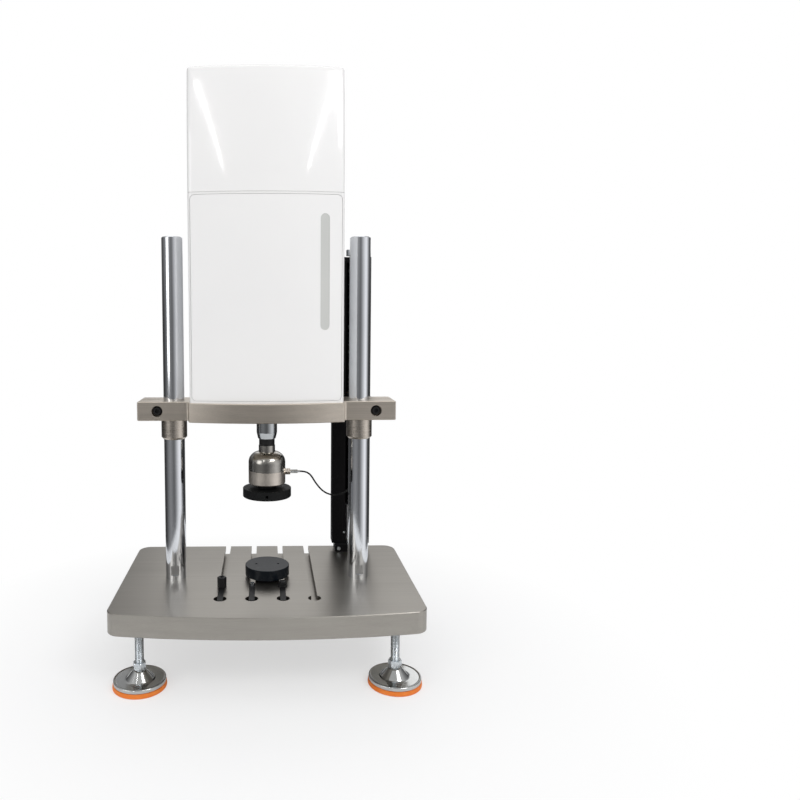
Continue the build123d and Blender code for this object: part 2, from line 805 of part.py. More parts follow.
with BuildPart() as motor_coil:
    with BuildSketch(Plane.XY.offset(motor_base + coil_above_flange)):
        with Locations((0, column_y)):
            Circle(motor_bore / 2)
            Circle(coil_inner_diameter / 2, mode=Mode.SUBTRACT)
    extrude(amount=coil_length)
save(motor_coil.part, "motor_coil")

cap_bottom = motor_base + motor_length
with BuildPart() as motor_end_cap:
    with BuildSketch(Plane.XY.offset(cap_bottom)):
        with Locations((0, column_y)):
            Circle(motor_diameter / 2)
    extrude(amount=end_cap_thickness)
    with BuildSketch(Plane.XY.offset(cap_bottom + end_cap_thickness)):
        with Locations((0, column_y)):
            Circle(end_cap_dome_diameter / 2)
    extrude(amount=end_cap_dome_height)
    fillet(motor_end_cap.faces().sort_by(Axis.Z)[-1].edges(), body_corner_radius)
    with BuildSketch(Plane.XY.offset(cap_bottom)):
        with Locations((0, column_y)):
            Circle(end_cap_dome_diameter / 2 - end_cap_wall)
    cavity_height = end_cap_thickness + end_cap_dome_height - end_cap_wall
    extrude(amount=cavity_height, mode=Mode.SUBTRACT)
save(motor_end_cap.part, "motor_end_cap")

# Socket screws on the motor flange and on the lift arm's flange
with BuildPart() as socket_screws:
    flange_dx = motor_flange_width - 2 * socket_head_diameter
    flange_dy = motor_flange_depth - 2 * socket_head_diameter
    with BuildSketch(Plane.XY.offset(motor_base)):
        with Locations((0, column_y)):
            with GridLocations(flange_dx, flange_dy, 2, 2):
                Circle(socket_head_diameter / 2)
                RegularPolygon(socket_across / 2, 6, major_radius=False, mode=Mode.SUBTRACT)
    extrude(amount=socket_head_height)
    arm_dx = arm_flange_width - 1.6 * socket_head_diameter
    arm_dz = arm_flange_height - 1.6 * socket_head_diameter
    with BuildSketch(Plane.XZ.offset(-(ear_back + arm_flange_thickness))):
        with Locations((post_x, cross_middle)):
            with GridLocations(arm_dx, arm_dz, 2, 2):
                Circle(socket_head_diameter / 2)
                RegularPolygon(socket_across / 2, 6, major_radius=False, mode=Mode.SUBTRACT)
    extrude(amount=-socket_head_height)
save(socket_screws.part, "socket_screws")

# Actuator rod with its nose, groove ring and the stud that takes the load cell
rod_top = cross_top + rod_above_motor_face
with BuildPart() as actuator_rod:
    with BuildSketch(Plane.XZ.offset(-column_y)):
        with BuildLine():
            groove = rod_bottom + rod_nose_length
            Polyline(
                (0, rod_bottom),
                (rod_nose_diameter / 2, rod_bottom),
                (rod_diameter / 2, groove),
                (rod_diameter / 2 - rod_groove_depth, groove),
                (rod_diameter / 2 - rod_groove_depth, groove + rod_groove_width),
                (rod_diameter / 2, groove + rod_groove_width),
                (rod_diameter / 2, rod_top),
                (0, rod_top),
                close=True,
            )
        make_face()
    revolve(axis=Axis((0, column_y, 0), (0, 0, 1)))
    with BuildSketch(Plane.XY.offset(rod_bottom)):
        with Locations((0, column_y)):
            Circle(rod_stud_diameter / 2)
    extrude(amount=-rod_stud_length)
save(actuator_rod.part, "actuator_rod")

magnet_bottom = motor_base + coil_above_flange + (coil_length - magnet_length) / 2
with BuildPart() as magnet_sleeve:
    with BuildSketch(Plane.XY.offset(magnet_bottom)):
        with Locations((0, column_y)):
            Circle(magnet_diameter / 2)
            Circle(rod_diameter / 2, mode=Mode.SUBTRACT)
    extrude(amount=magnet_length)
save(magnet_sleeve.part, "magnet_sleeve")

with BuildPart() as lock_nut:
    with BuildSketch(Plane.XY.offset(cell_top)):
        with Locations((0, column_y)):
            Circle(lock_nut_across / 2 + 1)
    extrude(amount=lock_nut_thickness)
    chamfer(lock_nut.edges().filter_by(GeomType.CIRCLE), platen_edge_break)
    with BuildSketch(Plane.XY.offset(cell_top)):
        with Locations((0, column_y)):
            Circle(rod_stud_diameter / 2 + running_fit)
    extrude(amount=lock_nut_thickness, mode=Mode.SUBTRACT)
save(lock_nut.part, "lock_nut")

# Load cell: a domed upper body with a neck, and a flat lower body, parted by a groove
connector_cut = connector_pocket()
with BuildPart() as load_cell_dome:
    with BuildSketch(Plane.XZ.offset(-column_y)):
        with BuildLine():
            shoulder = cell_seam + cell_upper_height
            neck_bottom = shoulder + cell_dome_height
            dome_start = (cell_diameter / 2, shoulder)
            dome_end = (cell_neck_diameter / 2, neck_bottom)
            Line((0, cell_seam), (cell_diameter / 2 - cell_groove_depth, cell_seam))
            Line(
                (cell_diameter / 2 - cell_groove_depth, cell_seam),
                (cell_diameter / 2 - cell_groove_depth, cell_seam + cell_groove_width),
            )
            Line(
                (cell_diameter / 2 - cell_groove_depth, cell_seam + cell_groove_width),
                (cell_diameter / 2, cell_seam + cell_groove_width),
            )
            Line((cell_diameter / 2, cell_seam + cell_groove_width), dome_start)
            TangentArc(dome_start, dome_end, tangent=(0, 1))
            Polyline(
                dome_end,
                (cell_neck_diameter / 2, cell_top),
                (0, cell_top),
                (0, cell_seam),
            )
        make_face()
    revolve(axis=Axis((0, column_y, 0), (0, 0, 1)))
    with BuildSketch(Plane.XY.offset(cell_top)):
        with Locations((0, column_y)):
            Circle(rod_stud_diameter / 2 + running_fit)
    stud_in_cell = rod_stud_length - lock_nut_thickness + screw_gap
    extrude(amount=-stud_in_cell, mode=Mode.SUBTRACT)
    add(connector_cut, mode=Mode.SUBTRACT)
save(load_cell_dome.part, "load_cell_dome")

with BuildPart() as load_cell_base:
    with BuildSketch(Plane.XY.offset(cell_bottom)):
        with Locations((0, column_y)):
            Circle(cell_diameter / 2)
    extrude(amount=cell_base_height)
    chamfer(load_cell_base.faces().sort_by(Axis.Z)[0].edges(), cell_bottom_chamfer)
    add(connector_cut, mode=Mode.SUBTRACT)
save(load_cell_base.part, "load_cell_base")

# Connector on the right of the load cell: a socket on its seat, then the plug with its tail
with BuildPart() as cable_socket:
    with BuildSketch(Plane.YZ.offset(connector_seat)):
        with Locations((column_y, connector_z)):
            RegularPolygon(connector_flange_diameter / 2, 6)
    extrude(amount=connector_seat_depth + connector_flange_length)
save(cable_socket.part, "cable_socket")

plug_start = cell_side + connector_flange_length
with BuildPart() as cable_plug:
    with BuildSketch(Plane.YZ.offset(plug_start)):
        with Locations((column_y, connector_z)):
            Circle(plug_diameter / 2)
    extrude(amount=plug_length)
    with BuildSketch(Plane.YZ.offset(plug_start + plug_length)):
        with Locations((column_y, connector_z)):
            Circle(plug_tail_diameter / 2)
    extrude(amount=plug_tail_length, taper=5)
save(cable_plug.part, "cable_plug")

# Cable gland under the right ear, behind the guide bush
gland_reach = bush_diameter / 2 + gland_to_bush_gap + gland_diameter / 2
gland_x = column_side - gland_reach * cos(radians(gland_angle))
gland_y = column_y + gland_reach * sin(radians(gland_angle))
gland_end = cross_bottom - gland_length
with BuildPart() as cable_gland:
    with BuildSketch(Plane.XY.offset(cross_bottom)):
        with Locations((gland_x, gland_y)):
            RegularPolygon(gland_diameter / 2, 6)
    extrude(amount=-gland_length / 2)
    with BuildSketch(Plane.XY.offset(cross_bottom - gland_length / 2)):
        with Locations((gland_x, gland_y)):
            Circle(gland_nose_diameter / 2)
    extrude(amount=-gland_length / 2)
save(cable_gland.part, "cable_gland")

# Load-cell cable: out of the plug, down in a slack loop and up behind the right column.
# Each point is a share of the way across to the gland, a share of the way back to it
# and a rise above the connector.
cable_exit = plug_start + plug_length + plug_tail_length
cable_rise = gland_end - connector_z
cable_shares = [
    (0.000, 0.000, 0),
    (0.095, 0.000, 0),
    (0.212, 0.040, -8),
    (0.307, 0.210, -30),
    (0.456, 0.525, -55),
    (0.645, 0.970, -70),
    (0.882, 1.360, -71),
    (1.047, 1.470, -54),
    (1.078, 1.360, -17),
    (1.055, 1.180, 0.27 * cable_rise),
    (1.000, 1.000, 0.68 * cable_rise),
    (1.000, 1.000, cable_rise),
]
cable_points = [
    (
        cable_exit + across * (gland_x - cable_exit),
        column_y + back * (gland_y - column_y),
        connector_z + rise,
    )
    for across, back, rise in cable_shares
]


def path_radii(points):
    """Largest tangent radius at each inner point, from its shorter run and its turn."""
    radii = []
    for before, here, after in zip(points, points[1:], points[2:]):
        first = Vector(*here) - Vector(*before)
        second = Vector(*after) - Vector(*here)
        turn = first.get_angle(second)
        shorter = min(first.length, second.length)
        radii.append(0.45 * shorter / tan(radians(turn) / 2))
    return radii


cable_radii = path_radii(cable_points)
with BuildPart() as load_cell_cable:
    with BuildLine() as cable_path:
        FilletPolyline(*cable_points, radius=cable_radii)
    with BuildSketch(Plane(origin=cable_points[0], z_dir=(1, 0, 0))):
        Circle(cable_diameter / 2)
    sweep()
save(load_cell_cable.part, "load_cell_cable")
cable_length = cable_path.wires()[0].length
cable_area = 3.14159 * cable_diameter**2 / 4
print("cable radii", [round(radius, 1) for radius in cable_radii])
print("cable length", round(cable_length, 1))
print("cable volume over length times section", round(load_cell_cable.part.volume / cable_length / cable_area, 4))

# Upper platen: disc, boss and a radial tommy hole in its rim
with BuildPart() as upper_platen:
    with BuildSketch(Plane.XY.offset(upper_platen_top - upper_platen_thickness)):
        with Locations((0, column_y)):
            Circle(upper_platen_diameter / 2)
    extrude(amount=upper_platen_thickness)
    chamfer(upper_platen.edges().filter_by(GeomType.CIRCLE), platen_edge_break)
    with BuildSketch(Plane.XY.offset(upper_platen_top)):
        with Locations((0, column_y)):
            Circle(upper_boss_diameter / 2)
    extrude(amount=upper_boss_height)
    platen_middle = upper_platen_top - upper_platen_thickness / 2
    tommy_plane = Plane(origin=(0, column_y, platen_middle), x_dir=(1, 0, 0), z_dir=(0, -1, 0))
    tommy_plane = tommy_plane.rotated((0, tommy_hole_angle, 0))
    with BuildSketch(tommy_plane.offset(upper_platen_diameter / 2 - tommy_hole_depth)):
        Circle(tommy_hole_diameter / 2)
    extrude(amount=2 * tommy_hole_depth, mode=Mode.SUBTRACT)
save(upper_platen.part, "upper_platen")

# Bowed layers that follow the cover's front at a chosen depth under its surface
front_radius = arc_radius(cover_width, cover_front_bow)
front_centre_y = column_y - cover_front_reach + front_radius
front_plane = Plane.XZ.offset(-(column_y - cover_front_reach - 2))


def bowed_slab(x, width, low, high, corner, depth, thickness):
    """Layer with rounded corners between two depths under the cover's bowed front."""
    with BuildPart() as slab:
        with BuildSketch(Plane.XY.offset(low)):
            with Locations((0, front_centre_y)):
                Circle(front_radius - depth)
                Circle(front_radius - depth - thickness, mode=Mode.SUBTRACT)
        extrude(amount=high - low)
        with BuildSketch(front_plane):
            with Locations((x, (low + high) / 2)):
                RectangleRounded(width, high - low, corner)
        extrude(amount=-cover_front_reach, mode=Mode.INTERSECT)
    return slab.part


# Lower cover: hollow, with a rebated opening in front and an opening in the back
panel_low = cross_top + panel_margin_bottom
panel_high = cover_top - panel_margin_top
rear_low = cross_top + rear_panel_above_cover
cover_back = column_y + cover_rear_reach
panel_rebate = bowed_slab(
    0, panel_width, panel_low, panel_high, panel_corner_radius, -2, panel_thickness + 2
)
panel_opening = bowed_slab(
    0,
    panel_width - 2 * panel_ledge,
    panel_low + panel_ledge,
    panel_high - panel_ledge,
    panel_corner_radius,
    0,
    2 * cover_front_wall,
)
with BuildPart() as cover_shell:
    with BuildSketch(Plane.XY.offset(cross_top)) as cover_sketch:
        add(bowed_outline(cover_width, cover_front_reach, cover_front_bow, cover_rear_reach, column_y))
        make_face()
        fillet(cover_sketch.vertices(), cover_corner_radius)
    extrude(amount=cover_height)
    with BuildSketch(Plane.XY.offset(cross_top)) as cavity_sketch:
        add(
            bowed_outline(
                cover_width - 2 * cover_wall,
                cover_front_reach - cover_front_wall,
                cover_front_bow,
                cover_rear_reach - cover_wall,
                column_y,
            )
        )
        make_face()
        fillet(cavity_sketch.vertices(), cover_corner_radius - cover_wall)
    extrude(amount=cover_height, mode=Mode.SUBTRACT)
    add(panel_rebate, mode=Mode.SUBTRACT)
    add(panel_opening, mode=Mode.SUBTRACT)
    with BuildSketch(Plane.XZ.offset(-cover_back)):
        with Locations((0, rear_low + rear_panel_height / 2)):
            Rectangle(
                rear_panel_width - 2 * rear_opening_margin,
                rear_panel_height - 2 * rear_opening_margin,
            )
    extrude(amount=2 * cover_wall, both=True, mode=Mode.SUBTRACT)
save(cover_shell.part, "cover_shell")

# Front panel with the round-ended window
window_low = cross_top + window_above_cover
window_high = window_low + window_length
panel_layer = bowed_slab(
    0,
    panel_width - 2 * panel_gap,
    panel_low + panel_gap,
    panel_high - panel_gap,
    panel_corner_radius - panel_gap,
    0,
    panel_thickness,
)
with BuildPart() as front_panel:
    add(panel_layer)
    with BuildSketch(front_plane):
        with Locations((window_side, (window_low + window_high) / 2)):
            SlotOverall(window_length, window_width, rotation=90)
    extrude(amount=-cover_front_reach, mode=Mode.SUBTRACT)
save(front_panel.part, "front_panel")

# Smoked strip behind the window, its raised face filling the slot
strip_face = bowed_slab(
    window_side,
    window_width - 2 * running_fit,
    window_low + running_fit,
    window_high - running_fit,
    window_width / 2 - 2 * running_fit,
    window_recess,
    panel_thickness - window_recess,
)
strip_flange = bowed_slab(
    window_side,
    window_width + 2 * window_flange,
    window_low - window_flange,
    window_high + window_flange,
    window_width / 2 + window_flange - running_fit,
    panel_thickness,
    window_flange_thickness,
)
with BuildPart() as window_strip:
    add(strip_face)
    add(strip_flange)
save(window_strip.part, "window_strip")

# Rear panel with two banks of louvre slots
with BuildPart() as rear_panel:
    with BuildSketch(Plane.XZ.offset(-cover_back)):
        with Locations((0, rear_low + rear_panel_height / 2)):
            RectangleRounded(rear_panel_width, rear_panel_height, body_corner_radius)
        with Locations((0, rear_low + rear_panel_height - rear_opening_margin - louvre_rows * louvre_pitch / 2)):
            with GridLocations(louvre_spacing, louvre_pitch, 2, louvre_rows):
                SlotOverall(louvre_length, louvre_height, mode=Mode.SUBTRACT)
        with Locations((0, rear_low + rear_socket_above_panel)):
            with GridLocations(rear_socket_spacing, 1, 2, 1):
                Circle(rear_socket_diameter / 2 - 2, mode=Mode.SUBTRACT)
    extrude(amount=-rear_panel_thickness)
save(rear_panel.part, "rear_panel")

rear_face = cover_back + rear_panel_thickness
with BuildPart() as rear_sockets:
    with BuildSketch(Plane.XZ.offset(-rear_face)):
        with Locations((0, rear_low + rear_socket_above_panel)):
            with GridLocations(rear_socket_spacing, 1, 2, 1):
                Circle(rear_socket_diameter / 2)
    extrude(amount=-rear_socket_length)
    with BuildSketch(Plane.XZ.offset(-(rear_face + rear_socket_length))):
        with Locations((0, rear_low + rear_socket_above_panel)):
            with GridLocations(rear_socket_spacing, 1, 2, 1):
                Circle(rear_socket_bore / 2)
    extrude(amount=rear_socket_bore_depth, mode=Mode.SUBTRACT)
save(rear_sockets.part, "rear_sockets")

with BuildPart() as panel_screws:
    with BuildSketch(Plane.XZ.offset(-rear_face)):
        with Locations((0, rear_low + rear_panel_height / 2)):
            with GridLocations(
                rear_panel_width - rear_opening_margin,
                (rear_panel_height - rear_opening_margin) / 2,
                2,
                3,
            ):
                Circle(rear_screw_diameter / 2)
    extrude(amount=-rear_screw_height)
save(panel_screws.part, "panel_screws")


def hood_section(height, inset, shift):
    """Plan outline of the hood at one height, with its front moved back by shift."""
    with BuildSketch(Plane.XY.offset(height)) as section:
        add(
            bowed_outline(
                cover_width - 2 * inset,
                cover_front_reach - inset - shift,
                cover_front_bow,
                cover_rear_reach - inset,
                column_y,
            )
        )
        make_face()
        fillet(section.vertices(), max(cover_corner_radius - inset, 2))
    return section.sketch


def hood_solid(low, inset, height):
    """Solid whose front leans back towards the top in a soft curve."""
    shares = [i / (hood_steps - 1) for i in range(hood_steps)]
    sections = [
        hood_section(low + height * share, inset, hood_lean * share**hood_curve)
        for share in shares
    ]
    with BuildPart() as solid:
        loft(sections)
    return solid


# Hood: a closed shell with a flange and a lip below that reaches into the cover
hood_outer = hood_solid(cover_top, 0, hood_height)
hood_inner = hood_solid(
    cover_top + hood_flange_thickness, hood_wall, hood_height - hood_wall - hood_flange_thickness
)
lip_front = cover_front_wall - hood_wall
with BuildPart() as hood:
    add(hood_outer.part)
    fillet(hood.faces().sort_by(Axis.Z)[-1].edges(), hood_top_radius)
    add(hood_inner.part, mode=Mode.SUBTRACT)
    extrude(
        hood_section(cover_top, hood_flange_width, 0),
        amount=hood_flange_thickness,
        mode=Mode.SUBTRACT,
    )
    with BuildSketch(Plane.XY.offset(cover_top)):
        with Locations((0, column_y)):
            Rectangle(2 * cover_width, 4 * cover_front_reach)
    seam_ring = hood_section(cover_top, seam_depth, 0)
    extrude(amount=seam_height, mode=Mode.SUBTRACT)
    extrude(seam_ring, amount=seam_height)
    extrude(
        hood_section(cover_top, hood_wall + running_fit, lip_front),
        amount=-hood_lip_depth,
    )
    extrude(
        hood_section(cover_top, hood_wall + hood_lip_wall, lip_front),
        amount=-hood_lip_depth,
        mode=Mode.SUBTRACT,
    )
    extrude(
        hood_section(cover_top, hood_flange_width, 0),
        amount=hood_flange_thickness,
        mode=Mode.SUBTRACT,
    )
save(hood.part, "hood")

# Levelling feet: rubber pad, pressed disc with a cone, and a screwed stud with a hexagon
disc_bottom = foot_pad_thickness
disc_top = disc_bottom + foot_disc_height
cone_top = disc_top + foot_cone_height
stud_top = floor_clearance + foot_stud_in_base
feet = (
    ("front_left", -foot_side, -foot_reach),
    ("front_right", foot_side, -foot_reach),
    ("rear_left", -foot_side, foot_reach),
    ("rear_right", foot_side, foot_reach),
)
for name, x, y in feet:
    with BuildPart() as foot_pad:
        with BuildSketch():
            with Locations((x, y)):
                Circle(foot_pad_diameter / 2)
        extrude(amount=foot_pad_thickness)
        fillet(foot_pad.edges().filter_by(GeomType.CIRCLE), 2)
    save(foot_pad.part, f"foot_pad_{name}")

    with BuildPart() as foot_disc:
        with BuildSketch(Plane.XZ.offset(-y)):
            with BuildLine():
                rim = foot_disc_diameter / 2
                cone = foot_cone_diameter / 2
                throat = foot_cone_top_diameter / 2
                roll_start = (x + rim, disc_top - foot_rim_roll)
                roll_middle = (
                    x + rim - foot_rim_roll * (1 - cos(radians(45))),
                    disc_top - foot_rim_roll * (1 - sin(radians(45))),
                )
                roll_end = (x + rim - foot_rim_roll, disc_top)
                ThreePointArc(roll_start, roll_middle, roll_end)
                Polyline(
                    roll_end,
                    (x + cone, disc_top - foot_dish_depth),
                    (x + throat, cone_top),
                    (x, cone_top),
                    (x, disc_bottom),
                    (x + rim - 1, disc_bottom),
                    (x + rim, disc_bottom + 1),
                    roll_start,
                )
            make_face()
        revolve(axis=Axis((x, y, 0), (0, 0, 1)))
        with BuildSketch(Plane.XY.offset(cone_top)):
            with Locations((x, y)):
                Circle(foot_neck_diameter / 2 + slide_gap)
        ball_z = cone_top - foot_ball_diameter
        extrude(amount=-(cone_top - ball_z), mode=Mode.SUBTRACT)
        with Locations((x, y, ball_z)):
            Sphere(foot_ball_diameter / 2 + running_fit, mode=Mode.SUBTRACT)
        with BuildSketch(Plane.XY.offset(disc_top)):
            with Locations((x, y - foot_hole_radius)):
                Circle(foot_hole_diameter / 2)
        extrude(amount=-foot_disc_height, mode=Mode.SUBTRACT)
    save(foot_disc.part, f"foot_disc_{name}")

    with BuildPart() as foot_stud:
        with Locations((x, y, ball_z)):
            Sphere(foot_ball_diameter / 2)
        hex_bottom = cone_top + 2
        with BuildSketch(Plane.XY.offset(ball_z)):
            with Locations((x, y)):
                Circle(foot_neck_diameter / 2)
        extrude(amount=hex_bottom - ball_z)
        with BuildSketch(Plane.XY.offset(hex_bottom)):
            with Locations((x, y)):
                RegularPolygon(foot_hex_across / 2, 6, major_radius=False)
        extrude(amount=foot_hex_height)
        with BuildSketch(Plane.XY.offset(hex_bottom + foot_hex_height)):
            with Locations((x, y)):
                Circle(foot_stud_diameter / 2)
        extrude(amount=stud_top - hex_bottom - foot_hex_height)
        chamfer(foot_stud.faces().sort_by(Axis.Z)[-1].edges(), platen_edge_break)
    save(foot_stud.part, f"foot_stud_{name}")
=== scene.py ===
"""Looks of a twin-column mechanical testing machine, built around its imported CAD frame."""
import logging
import math
from dataclasses import dataclass
from enum import Enum
from typing import Any, Sequence

import bmesh
import bpy
import numpy as np
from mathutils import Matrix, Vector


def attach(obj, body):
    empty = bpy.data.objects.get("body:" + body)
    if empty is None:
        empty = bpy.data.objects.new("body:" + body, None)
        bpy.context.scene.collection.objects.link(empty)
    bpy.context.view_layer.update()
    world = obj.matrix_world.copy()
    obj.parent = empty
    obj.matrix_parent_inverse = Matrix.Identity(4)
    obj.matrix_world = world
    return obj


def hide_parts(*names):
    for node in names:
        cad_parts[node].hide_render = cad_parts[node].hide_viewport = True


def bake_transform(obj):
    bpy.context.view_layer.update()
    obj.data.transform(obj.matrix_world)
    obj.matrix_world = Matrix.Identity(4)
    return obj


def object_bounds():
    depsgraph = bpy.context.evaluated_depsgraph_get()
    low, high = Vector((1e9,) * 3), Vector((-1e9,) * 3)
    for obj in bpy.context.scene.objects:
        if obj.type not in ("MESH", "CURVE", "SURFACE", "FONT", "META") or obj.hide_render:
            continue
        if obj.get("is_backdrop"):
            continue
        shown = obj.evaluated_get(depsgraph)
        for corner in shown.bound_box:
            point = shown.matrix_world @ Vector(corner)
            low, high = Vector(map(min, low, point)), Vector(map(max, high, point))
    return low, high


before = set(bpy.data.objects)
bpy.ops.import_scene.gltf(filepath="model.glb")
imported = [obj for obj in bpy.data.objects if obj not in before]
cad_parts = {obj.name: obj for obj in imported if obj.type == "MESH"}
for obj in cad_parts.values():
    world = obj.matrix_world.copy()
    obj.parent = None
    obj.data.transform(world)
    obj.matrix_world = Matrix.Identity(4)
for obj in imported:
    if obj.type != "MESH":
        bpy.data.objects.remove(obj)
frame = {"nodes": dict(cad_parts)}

log = logging.getLogger("machine")

Plane = tuple[float, float]
Point = tuple[float, float, float]
Colour = tuple[float, float, float]
Object = bpy.types.Object
MM = 0.001
FOOT_SIDE = 286.0
FOOT_REACH = 172.0


# Geometry from whole arrays


def grid_faces(rows: int, columns: int) -> np.ndarray:
    """Quads between rings of points that follow one another along a profile.

    Args:
        rows: Number of rings.
        columns: Points in each ring; the last joins the first.

    Returns:
        Vertex numbers, four for each quad, facing out where rings rise and run anticlockwise.
    """
    row = np.arange(rows - 1)[:, None] * columns
    column = np.arange(columns)[None, :]
    following = (column + 1) % columns
    quads = [row + column, row + following, row + columns + following, row + columns + column]
    return np.stack(quads, axis=-1).reshape(-1, 4)


def disc_faces(start: int, columns: int, centre: int, upward: bool) -> np.ndarray:
    """Fan of triangles that closes a ring of points to a centre point.

    Args:
        start: Number of the ring's first point.
        columns: Points in the ring.
        centre: Number of the centre point.
        upward: True if the fan faces the way that the profile rises.
    """
    first = start + np.arange(columns)
    second = start + (np.arange(columns) + 1) % columns
    hub = np.full(columns, centre)
    order = [first, second, hub] if upward else [second, first, hub]
    return np.stack(order, axis=-1)


def make_piece(name: str, points: np.ndarray, faces: Sequence[np.ndarray], sharp: float = 35) -> Object:
    """Mesh object with smooth faces and edges that stay sharp above an angle.

    Args:
        name: Name of the new piece.
        points: Points in metres, in the machine's own frame.
        faces: Arrays of vertex numbers, each with its own count of corners.
        sharp: Angle in degrees above which an edge stays crisp.

    Returns:
        The object, at the origin.
    """
    mesh = bpy.data.meshes.new(name)
    mesh.from_pydata(points.tolist(), [], [face for group in faces for face in group.tolist()])
    mesh.shade_smooth()
    mesh.set_sharp_from_angle(angle=math.radians(sharp))
    mesh.update()
    piece = bpy.data.objects.new(name, mesh)
    bpy.context.scene.collection.objects.link(piece)
    return piece


def stack_rings(name: str, rings: np.ndarray, ends: Sequence[Point], sharp: float = 35) -> Object:
    """Closed piece from rings stacked on one another, with a fan over each end.

    Args:
        name: Name of the new piece.
        rings: Points in millimetres, by ring, place in the ring and coordinate.
        ends: Middle points of the first ring's fan and the last ring's.
        sharp: Angle in degrees above which an edge stays crisp.
    """
    rows, columns = rings.shape[:2]
    hub = rows * columns
    fans = [
        disc_faces(0, columns, hub, upward=False),
        disc_faces(hub - columns, columns, hub + 1, upward=True),
    ]
    points = np.concatenate([rings.reshape(-1, 3), np.array(ends)])
    return make_piece(name, points * MM, [grid_faces(rows, columns), np.concatenate(fans)], sharp)


def soften(corners: Sequence[Plane], radii: Sequence[float], steps: int = 5) -> np.ndarray:
    """Profile whose corners are rounded.

    Each corner becomes a parabola that touches both its sides at the distance
    radius / tan(half the corner's angle).

    Args:
        corners: Corner points of an open profile.
        radii: Rounding of each corner; the first and last are not used.
        steps: Points on each rounding.

    Returns:
        Points of the softened profile.
    """
    corner = np.asarray(corners, float)
    made = [corner[:1]]
    share = np.linspace(0, 1, steps)[:, None]
    for before, here, after, radius in zip(corner, corner[1:], corner[2:], radii[1:-1]):
        back, ahead = before - here, after - here
        long_back, long_ahead = np.linalg.norm(back), np.linalg.norm(ahead)
        back, ahead = back / long_back, ahead / long_ahead
        half = 0.5 * math.acos(float(np.clip(back @ ahead, -1, 1)))
        cut = min(radius / max(math.tan(half), 0.05), 0.45 * min(long_back, long_ahead))
        start, end = here + back * cut, here + ahead * cut
        if radius <= 0:
            made.append(here[None, :])
            continue
        made.append((1 - share) ** 2 * start + 2 * share * (1 - share) * here + share**2 * end)
    made.append(corner[-1:])
    return np.concatenate(made)


def revolve(name: str, profile: np.ndarray, centre: Plane, columns: int = 64) -> Object:
    """Closed solid of revolution about an upright axis.

    A point at radius r and height z becomes (x + r cos a, y + r sin a, z) for each angle a.
    The profile rises on the outside; where it starts or ends on the axis it closes in a fan.

    Args:
        name: Name of the piece.
        profile: Radius and height in millimetres, from the bottom to the top.
        centre: X and Y of the axis in millimetres.
        columns: Points round the axis.
    """
    angle = np.linspace(0, 2 * math.pi, columns, endpoint=False)
    inner = profile[profile[:, 0] > 1e-6]
    radius, height = inner[:, 0][:, None], inner[:, 1][:, None]
    x = centre[0] + radius * np.cos(angle)
    y = centre[1] + radius * np.sin(angle)
    rings = np.stack([x, y, np.broadcast_to(height, x.shape)], axis=-1)
    return stack_rings(name, rings, [(*centre, profile[0, 1]), (*centre, profile[-1, 1])])


def bowed_ring(
    width: float, front: float, bow: float, rear: float, radius: float, count: int
) -> np.ndarray:
    """Closed plan outline with straight sides and back, an arc across the front and round corners.

    The front point at x lies at -front + bow (2 x / width) squared, which is the arc to within a
    tenth of a millimetre; each corner is rounded as soften() does.

    Args:
        width: Overall width.
        front: Reach of the middle of the front, towards -Y.
        bow: How far the front's ends lie behind its middle.
        rear: Reach of the back, towards +Y.
        radius: Radius of the corners.
        count: Points across the front.

    Returns:
        Points anticlockwise seen from above.
    """
    half = width / 2
    x = np.linspace(-half + radius, half - radius, count)
    arc = np.stack([x, -front + bow * (2 * x / width) ** 2], axis=-1)
    turn = np.linspace(0, 1, 7)[1:-1][:, None]

    def corner(start: np.ndarray, tip: np.ndarray, end: np.ndarray) -> np.ndarray:
        """Parabola from start to end whose sides meet at the tip."""
        return (1 - turn) ** 2 * start + 2 * turn * (1 - turn) * tip + turn**2 * end

    right_low = np.array([half, -front + bow + radius])
    right_high = np.array([half, rear - radius])
    back_right = np.array([half - radius, rear])
    mirror = np.array([-1.0, 1.0])
    side = np.linspace(0, 1, 8)[:, None]
    back = np.linspace(0, 1, 14)[:, None]
    right = np.concatenate(
        [
            corner(arc[-1], np.array([half, -front + bow]), right_low),
            right_low + side * (right_high - right_low),
            corner(right_high, np.array([half, rear]), back_right),
        ]
    )
    across = back_right + back * (back_right * mirror - back_right)
    left = (right * mirror)[::-1]
    return np.concatenate([arc, right, across, left])


# Shader arithmetic and node making


class Signal:
    """One output of a node tree, on which Python's operators add Math nodes."""

    def __init__(self, recipe: "Recipe", socket: bpy.types.NodeSocket) -> None:
        """Keep the tree and the socket."""
        self.recipe = recipe
        self.socket = socket

    def _math(self, operation: str, *values: "Signal | float") -> "Signal":
        """Math node on these values, which are signals or plain numbers."""
        return self.recipe.node("ShaderNodeMath", {"operation": operation}, dict(enumerate(values)))

    def __add__(self, other: "Signal | float") -> "Signal":
        """Sum."""
        return self._math("ADD", self, other)

    def __radd__(self, other: float) -> "Signal":
        """Sum with a number on the left."""
        return self._math("ADD", other, self)

    def __sub__(self, other: "Signal | float") -> "Signal":
        """Difference."""
        return self._math("SUBTRACT", self, other)

    def __rsub__(self, other: float) -> "Signal":
        """A number less this signal."""
        return self._math("SUBTRACT", other, self)

    def __mul__(self, other: "Signal | float") -> "Signal":
        """Product."""
        return self._math("MULTIPLY", self, other)

    def __rmul__(self, other: float) -> "Signal":
        """Product with a number on the left."""
        return self._math("MULTIPLY", other, self)

    def between(self, low: float, high: float) -> "Signal":
        """Signal that runs from 0 at low to 1 at high, held inside those limits."""
        return self.recipe.node(
            "ShaderNodeMapRange",
            {"clamp": True},
            {"Value": self, "From Min": low, "From Max": high, "To Min": 0.0, "To Max": 1.0},
        )


